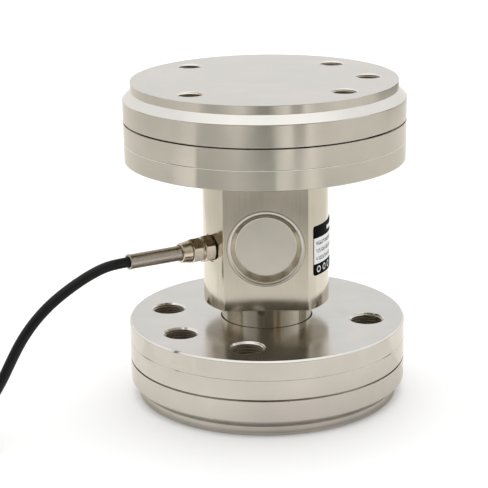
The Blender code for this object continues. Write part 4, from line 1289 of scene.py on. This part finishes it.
class LOADCELL_OT_column(bpy.types.Operator):
    """Make the column with its flats, its gauge pockets and the gland's port"""

    bl_idname = "load_cell.column"
    bl_label = "Column"

    def execute(self, context):
        column = context.scene.load_cell_column
        cover = context.scene.load_cell_cover
        gland = context.scene.load_cell_gland
        steel = context.scene.load_cell_steel
        solid = boolean(self.body(column), self.core(column), "UNION")
        for sense in (-1, 1):
            pocket = self.pocket(column, cover)
            bmesh.ops.transform(pocket, matrix=face_matrix(sense), verts=pocket.verts)
            solid = boolean(solid, pocket)
        port = self.port(column, cover, gland)
        bmesh.ops.transform(port, matrix=gland_matrix(gland), verts=port.verts)
        solid = boolean(solid, port)
        finish = milled_steel("column_steel", tuple(steel.column), steel.column_roughness)
        piece("column_body", solid, (finish,), ("column",))
        return {"FINISHED"}

    def body(self, column):
        """The round body with two flats: its outline is drawn once and raised."""
        radius = column.body_diameter / 2
        half_angle = side_half_angle(column)
        steps = column.segments // 4
        low = MID_HEIGHT - column.body_height / 2
        bm = bmesh.new()
        verts = []
        for centre in (0.0, math.pi):
            for step in range(steps + 1):
                angle = centre - half_angle + 2 * half_angle * step / steps
                verts.append(bm.verts.new((radius * math.cos(angle), radius * math.sin(angle), low)))
        face = bm.faces.new(verts)
        raised = bmesh.ops.extrude_face_region(bm, geom=[face])
        bmesh.ops.translate(bm, vec=(0, 0, column.body_height), verts=moved_verts(raised))
        bmesh.ops.recalc_face_normals(bm, faces=bm.faces)
        corner = math.radians(20)
        sharp = [edge for edge in bm.edges if edge.calc_face_angle() > corner]
        bmesh.ops.bevel(
            bm, geom=sharp, offset=column.edge, segments=3, profile=0.5, affect="EDGES", material=-1
        )
        return bm

    def core(self, column):
        """Necks and ends, on a core that runs through the body."""
        joint = UPPER_JOINT - MID_HEIGHT
        end = COLUMN_TOP - MID_HEIGHT
        shoulder = joint - FLANGE_THICKNESS + column.neck_seat - column.end_clearance
        radius = column.end_diameter / 2
        upper = [
            (0.0, end, 0.0),
            (radius, end, column.end_edge),
            (radius, shoulder, 0.0),
            (column.neck_diameter / 2, shoulder, column.neck_edge),
        ]
        lower = [(across, -height, ease) for across, height, ease in reversed(upper)]
        return spun(upper + lower, column.segments, move=Matrix.Translation((0, 0, MID_HEIGHT)))

    def pocket(self, column, cover):
        seat_floor = FLAT_OFFSET - cover.seat_depth
        inner = pocket_radius(cover)
        seat = inner + cover.ledge
        outer = FLAT_OFFSET + 2 * CUT_PAST
        ease = column.pocket_edge
        return spun(
            (
                (0.0, outer, 0.0),
                (seat + ease + 2 * CUT_PAST, outer, 0.0),
                (seat + ease, FLAT_OFFSET, 0.0),
                (seat, FLAT_OFFSET - ease, 0.0),
                (seat, seat_floor, 0.0),
                (inner, seat_floor, 0.0),
                (inner, column.web / 2, 0.0),
                (0.0, column.web / 2, 0.0),
            ),
            cover.segments,
        )

    def port(self, column, cover, gland):
        bore = gland.shank / 2 + GAP
        pocket = pocket_radius(cover)
        spot = gland.spot / 2
        spot_face = column.body_diameter / 2 - column.spot_depth
        mouth = column.body_diameter / 2 + 2 * CUT_PAST
        return spun(
            (
                (0.0, mouth, 0.0),
                (spot, mouth, 0.0),
                (spot, spot_face, 0.0),
                (bore, spot_face, 0.0),
                (bore, pocket, 0.0),
                (0.0, pocket, 0.0),
            ),
            gland.segments,
        )


class LOADCELL_OT_covers(bpy.types.Operator):
    """Make the pressed covers in the flats"""

    bl_idname = "load_cell.covers"
    bl_label = "Covers"

    def execute(self, context):
        cover = context.scene.load_cell_cover
        steel = context.scene.load_cell_steel
        finish = (
            pressed_steel("cover_steel", tuple(steel.cover), steel.cover_roughness),
            # Slot 1: the darker steel high on the wall, which is painted shade.
            pressed_steel("cover_painted_shade", tuple(steel.painted_wall_shade), steel.cover_roughness),
        )
        for side, sense in (("front", -1), ("rear", 1)):
            matrix = face_matrix(sense) @ Matrix.Translation((0, 0, FLAT_OFFSET))
            piece(f"{side}_cap", self.pressing(cover), finish, (f"{side}_cover",), matrix)
        return {"FINISHED"}

    def pressing(self, cover):
        """A shallow cup with a flat lip, and painted shade high on the cup's wall: darker steel where the
        wall faces down.
        """
        opening = cover.opening / 2
        floor = opening - cover.taper
        lip = pocket_radius(cover) + cover.ledge - cover.lip_gap
        lip_bottom = -cover.seat_depth + cover.clearance
        bm = spun(
            (
                (0.0, -cover.recess, 0.0),
                (floor, -cover.recess, cover.floor_edge),
                (opening, cover.proud, cover.shoulder),
                (lip, cover.proud, cover.lip_edge),
                (lip, lip_bottom, 0.0),
                (opening + cover.sheet, lip_bottom, 0.0),
                (floor + cover.sheet, -cover.recess, 0.0),
                (floor, -cover.recess - cover.sheet, 0.0),
                (0.0, -cover.recess - cover.sheet, 0.0),
            ),
            cover.segments,
            steps=5,
        )
        bm.normal_update()
        # Faces high on the wall that face down take the darker steel: painted shade.
        for face in bm.faces:
            if face.normal.x < -cover.wall_shade_tilt and face.calc_center_median().xy.length < opening:
                face.material_index = 1
        return bm


class LOADCELL_OT_gland(bpy.types.Operator):
    """Make the gland, its nut, the ferrule and the sleeve"""

    bl_idname = "load_cell.gland"
    bl_label = "Gland"

    def execute(self, context):
        gland = context.scene.load_cell_gland
        column = context.scene.load_cell_column
        steel = context.scene.load_cell_steel
        places = gland_places(gland, column)
        matrix = gland_matrix(gland)
        plating = (
            plated_brass("gland_plating", tuple(steel.gland), steel.gland_roughness),
            # Slot 1: the darker plating of the upper facets, which is painted shade.
            plated_brass("gland_painted_shade", tuple(steel.painted_facet_shade), steel.facet_shade_roughness),
        )
        rubber = (moulded("seal_rubber", (0.022, 0.016, 0.011), 0.55),)
        satin = (pressed_steel("sleeve_steel", tuple(steel.sleeve), steel.sleeve_roughness),)
        pieces = (
            ("gland_ring", self.washer, rubber, "gland_washer", "seal_rubber"),
            ("gland_hexagon", self.body, plating, "gland_body", "gland_metal"),
            ("gland_cap", self.nut, plating, "gland_nut", "gland_metal"),
            ("ferrule", self.ferrule, plating, "sleeve_ferrule", "gland_metal"),
            ("guard_sleeve", self.sleeve, satin, "cable_sleeve", "cover_steel"),
        )
        for name, shape, finish, node, slot in pieces:
            piece(name, shape(gland, places), finish, (node,), matrix)
        return {"FINISHED"}

    def washer(self, gland, places):
        low = places["washer"]
        high = low + gland.washer_thickness
        inner = gland.shank / 2 + GAP
        outer = gland.washer / 2
        return spun(
            (
                (inner, low, 0.0),
                (outer, low, gland.edge),
                (outer, high, gland.edge),
                (inner, high, 0.0),
            ),
            gland.segments,
        )

    def body(self, gland, places):
        passage = gland.passage / 2
        tube_end = places["tube"] + gland.tube_length
        middle = places["body"] + gland.body_length / 2
        shank_start = places["spot_face"] - gland.shank_length
        shaft = spun(
            (
                (passage, tube_end, 0.0),
                (gland.tube / 2, tube_end, gland.edge),
                (gland.tube / 2, places["tube"], 0.0),
                (gland.collar / 2, places["tube"], gland.collar_edge),
                (gland.collar / 2, middle, 0.0),
                (gland.shank / 2, middle, 0.0),
                (gland.shank / 2, shank_start, gland.end_edge),
                (passage, shank_start, 0.0),
            ),
            gland.segments,
        )
        bar = hexagon(gland, gland.body_hexagon, places["body"], places["collar"])
        way = plug(passage, places["body"] - CUT_PAST, places["collar"] + CUT_PAST, gland.segments)
        return self.painted_facet_shade(gland, boolean(shaft, boolean(bar, way), "UNION"))

    def nut(self, gland, places):
        low = places["nut"]
        high = low + gland.nut_length
        bore_end = high - gland.nut_wall
        bar = hexagon(gland, gland.nut_hexagon, low, high)
        bore = spun(
            (
                (0.0, high + CUT_PAST, 0.0),
                (gland.passage / 2, high + CUT_PAST, 0.0),
                (gland.passage / 2, bore_end, 0.0),
                (gland.tube / 2 + GAP, bore_end, 0.0),
                (gland.tube / 2 + GAP, low - CUT_PAST, 0.0),
                (0.0, low - CUT_PAST, 0.0),
            ),
            gland.segments,
        )
        return self.painted_facet_shade(gland, boolean(bar, bore))

    def painted_facet_shade(self, gland, bm):
        """Slot 1 for the facets that face up, which take the darker plating of the painted shade."""
        bm.normal_update()
        for face in bm.faces:
            if face.normal.x > gland.facet_shade_tilt:
                face.material_index = 1
        return bm

    def ferrule(self, gland, places):
        low = places["ferrule"]
        high = places["sleeve_free"]
        passage = gland.passage / 2
        socket = passage + gland.sleeve_wall + GAP
        socket_floor = places["sleeve"] - GAP
        return spun(
            (
                (passage, low, 0.0),
                (gland.ferrule_root / 2, low, gland.end_edge),
                (gland.ferrule_tip / 2, high, gland.end_edge),
                (socket, high, 0.0),
                (socket, socket_floor, 0.0),
                (passage, socket_floor, 0.0),
            ),
            gland.segments,
        )

    def sleeve(self, gland, places):
        passage = gland.passage / 2
        outer = passage + gland.sleeve_wall
        tip = passage + gland.sleeve_tip_wall
        end = places["tip"]
        return spun(
            (
                (passage, places["sleeve"], 0.0),
                (outer, places["sleeve"], 0.0),
                (outer, places["sleeve_free"], 0.0),
                (tip, end - gland.bead_width - gland.edge, 0.0),
                (tip + gland.bead, end - gland.bead_width, 0.0),
                (tip + gland.bead, end, gland.edge),
                (passage, end, gland.bore_edge),
            ),
            gland.segments,
        )


class LOADCELL_OT_label(bpy.types.Operator):
    """Make the label with its plain printed fields"""

    bl_idname = "load_cell.label"
    bl_label = "Label"

    def execute(self, context):
        label = context.scene.load_cell_label
        column = context.scene.load_cell_column
        radius = column.body_diameter / 2 + label.lift
        half_arc = side_half_angle(column) * radius - label.margin
        bm = self.flat_sheet(label, half_arc)
        for vert in bm.verts:
            angle = vert.co.x / radius
            across = radius + vert.co.y
            vert.co = (across * math.cos(angle), across * math.sin(angle), vert.co.z)
        bmesh.ops.recalc_face_normals(bm, faces=bm.faces)
        printed = self.print_material(label, radius, half_arc)
        piece("plain_label", bm, (printed,), ("label",))
        return {"FINISHED"}

    def flat_sheet(self, label, half_arc):
        """A flat sheet with round corners along X, cut into strips that let it bend."""
        low, high = LABEL_LOW, LABEL_HIGH
        bm = bmesh.new()
        bmesh.ops.create_grid(bm, x_segments=label.strips, y_segments=1, size=0.5)
        for vert in bm.verts:
            vert.co = (vert.co.x * 2 * half_arc, 0.0, low + (vert.co.y + 0.5) * (high - low))
        corners = [vert for vert in bm.verts if abs(abs(vert.co.x) - half_arc) < WELD]
        bmesh.ops.bevel(
            bm, geom=corners, offset=label.corner, segments=6, profile=0.5, affect="VERTICES", material=-1
        )
        grown = bmesh.ops.extrude_face_region(bm, geom=bm.faces[:])
        bmesh.ops.translate(bm, vec=(0, label.thickness, 0), verts=moved_verts(grown))
        return bm

    def print_material(self, label, radius, half_arc):
        """Dark header and footer, pale middle, and plain bars where small print would be."""
        shader = Shader("label_print", (0.92, 0.92, 0.92), 0.5)
        split = shader.add("ShaderNodeSeparateXYZ")
        shader.link(shader.coordinates, split.inputs[0])
        x, y, z = split.outputs
        along = shader.math("MULTIPLY", shader.math("ARCTAN2", y, x), radius)
        header = shader.math("GREATER_THAN", z, LABEL_HIGH - label.header)
        footer = shader.math("LESS_THAN", z, LABEL_LOW + label.footer)
        dark = shader.math("MAXIMUM", header, footer)
        middle_low = LABEL_LOW + label.footer
        middle = LABEL_HIGH - label.header - middle_low
        start = -half_arc
        rows = []
        for number, length in enumerate(ROW_LENGTHS):
            level = middle_low + middle * (label.first_row - label.row_step * number)
            place = (start + label.row_start, length, level, label.row_height)
            rows.append(self.patch(shader, along, z, *place))
        strokes = shader.math("GREATER_THAN", shader.noise(1500.0, 1.0, 0.5), 0.49)
        inked = shader.math("MULTIPLY", strokes, label.row_ink)
        bars = shader.math("MULTIPLY", self.any_of(shader, rows), inked)
        marks = []
        for centre in RING_PLACES:
            place = (start + centre, LABEL_LOW + label.footer / 2, label.ring_radius, label.ring_width)
            marks.append(self.ring(shader, along, z, *place))
        level = LABEL_HIGH - label.header / 2
        place = (start + label.bar_start, label.bar_length, level, label.bar_height)
        marks.append(self.patch(shader, along, z, *place))
        ink = shader.math("SUBTRACT", shader.math("MAXIMUM", dark, bars), self.any_of(shader, marks))
        shader.tint(ink, (0.95, 0.95, 0.95), (0.004, 0.004, 0.004))
        shader.bsdf.inputs["Specular IOR Level"].default_value = 0.02
        grain = shader.noise(1500.0, 2.0)
        shader.bump(grain, 0.04, 0.00002)
        return shader.material

    def any_of(self, shader, masks):
        whole = masks[0]
        for mask in masks[1:]:
            whole = shader.math("MAXIMUM", whole, mask)
        return whole

    def ring(self, shader, along, z, centre, level, radius, width):
        """1 on a thin ring round a place on the label."""
        sideways = shader.math("POWER", shader.math("SUBTRACT", along, centre), 2)
        upright = shader.math("POWER", shader.math("SUBTRACT", z, level), 2)
        reach = shader.math("SQRT", shader.math("ADD", sideways, upright))
        off_line = shader.math("ABSOLUTE", shader.math("SUBTRACT", reach, radius))
        return shader.math("LESS_THAN", off_line, width / 2)

    def patch(self, shader, along, z, start, length, level, height):
        """1 inside a rectangle on the label, from its start along the arc and its middle height."""
        near = shader.math("ABSOLUTE", shader.math("SUBTRACT", along, start + length / 2))
        tall = shader.math("ABSOLUTE", shader.math("SUBTRACT", z, level))
        inside = shader.math("LESS_THAN", near, length / 2)
        return shader.math("MULTIPLY", inside, shader.math("LESS_THAN", tall, height / 2))


class LOADCELL_OT_inner_parts(bpy.types.Operator):
    """Give the parts inside the pockets and the gland their finishes"""

    bl_idname = "load_cell.inner_parts"
    bl_label = "Inner parts"

    def execute(self, context):
        foil = moulded("gauge_foil", (0.60, 0.33, 0.09), 0.35, 2000.0, 0.1)
        board = moulded("board_lacquer", (0.03, 0.18, 0.07), 0.35, 1200.0, 0.1)
        bobbin = moulded("bobbin_lacquer", (0.14, 0.26, 0.40), 0.40)
        enamel = plated_brass("lead_enamel", (0.72, 0.42, 0.24), 0.30)
        rubber = moulded("inner_rubber", (0.012, 0.012, 0.012), 0.6)
        finishes = {
            "axial_gauge": foil,
            "cross_gauge": foil,
            "terminal_board": board,
            "resistor": bobbin,
            "inner_lead": enamel,
            "link_lead": enamel,
            "gland_seal": rubber,
        }
        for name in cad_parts:
            for part, material in finishes.items():
                if part in name:
                    refinish(name, material)
        return {"FINISHED"}


class LOADCELL_PT_panel(bpy.types.Panel):
    bl_idname = "LOADCELL_PT_panel"
    bl_label = "Load Cell"
    bl_space_type = "VIEW_3D"
    bl_region_type = "UI"
    bl_category = "Load Cell"

    def draw(self, context):
        for operator in OPERATORS:
            self.layout.operator(operator.bl_idname)
        for name, group in SETTINGS.items():
            box = self.layout.box()
            box.label(text=group.__name__)
            for key in group.__annotations__:
                box.prop(getattr(context.scene, name), key)


OPERATORS = (
    LOADCELL_OT_stage,
    LOADCELL_OT_gland,
    LOADCELL_OT_cable,
    LOADCELL_OT_ends,
    LOADCELL_OT_column,
    LOADCELL_OT_covers,
    LOADCELL_OT_label,
    LOADCELL_OT_inner_parts,
)


def register():
    for name, group in SETTINGS.items():
        bpy.utils.register_class(group)
        setattr(bpy.types.Scene, name, PointerProperty(type=group))
    for operator in OPERATORS:
        bpy.utils.register_class(operator)
    bpy.utils.register_class(LOADCELL_PT_panel)


def unregister():
    bpy.utils.unregister_class(LOADCELL_PT_panel)
    for operator in reversed(OPERATORS):
        bpy.utils.unregister_class(operator)
    for name, group in SETTINGS.items():
        delattr(bpy.types.Scene, name)
        bpy.utils.unregister_class(group)


def main():
    register()
    bpy.ops.load_cell.stage()
    bpy.ops.load_cell.gland()
    bpy.ops.load_cell.cable()
    bpy.ops.load_cell.ends()
    bpy.ops.load_cell.column()
    bpy.ops.load_cell.covers()
    bpy.ops.load_cell.label()
    bpy.ops.load_cell.inner_parts()


if __name__ == "__main__":
    main()
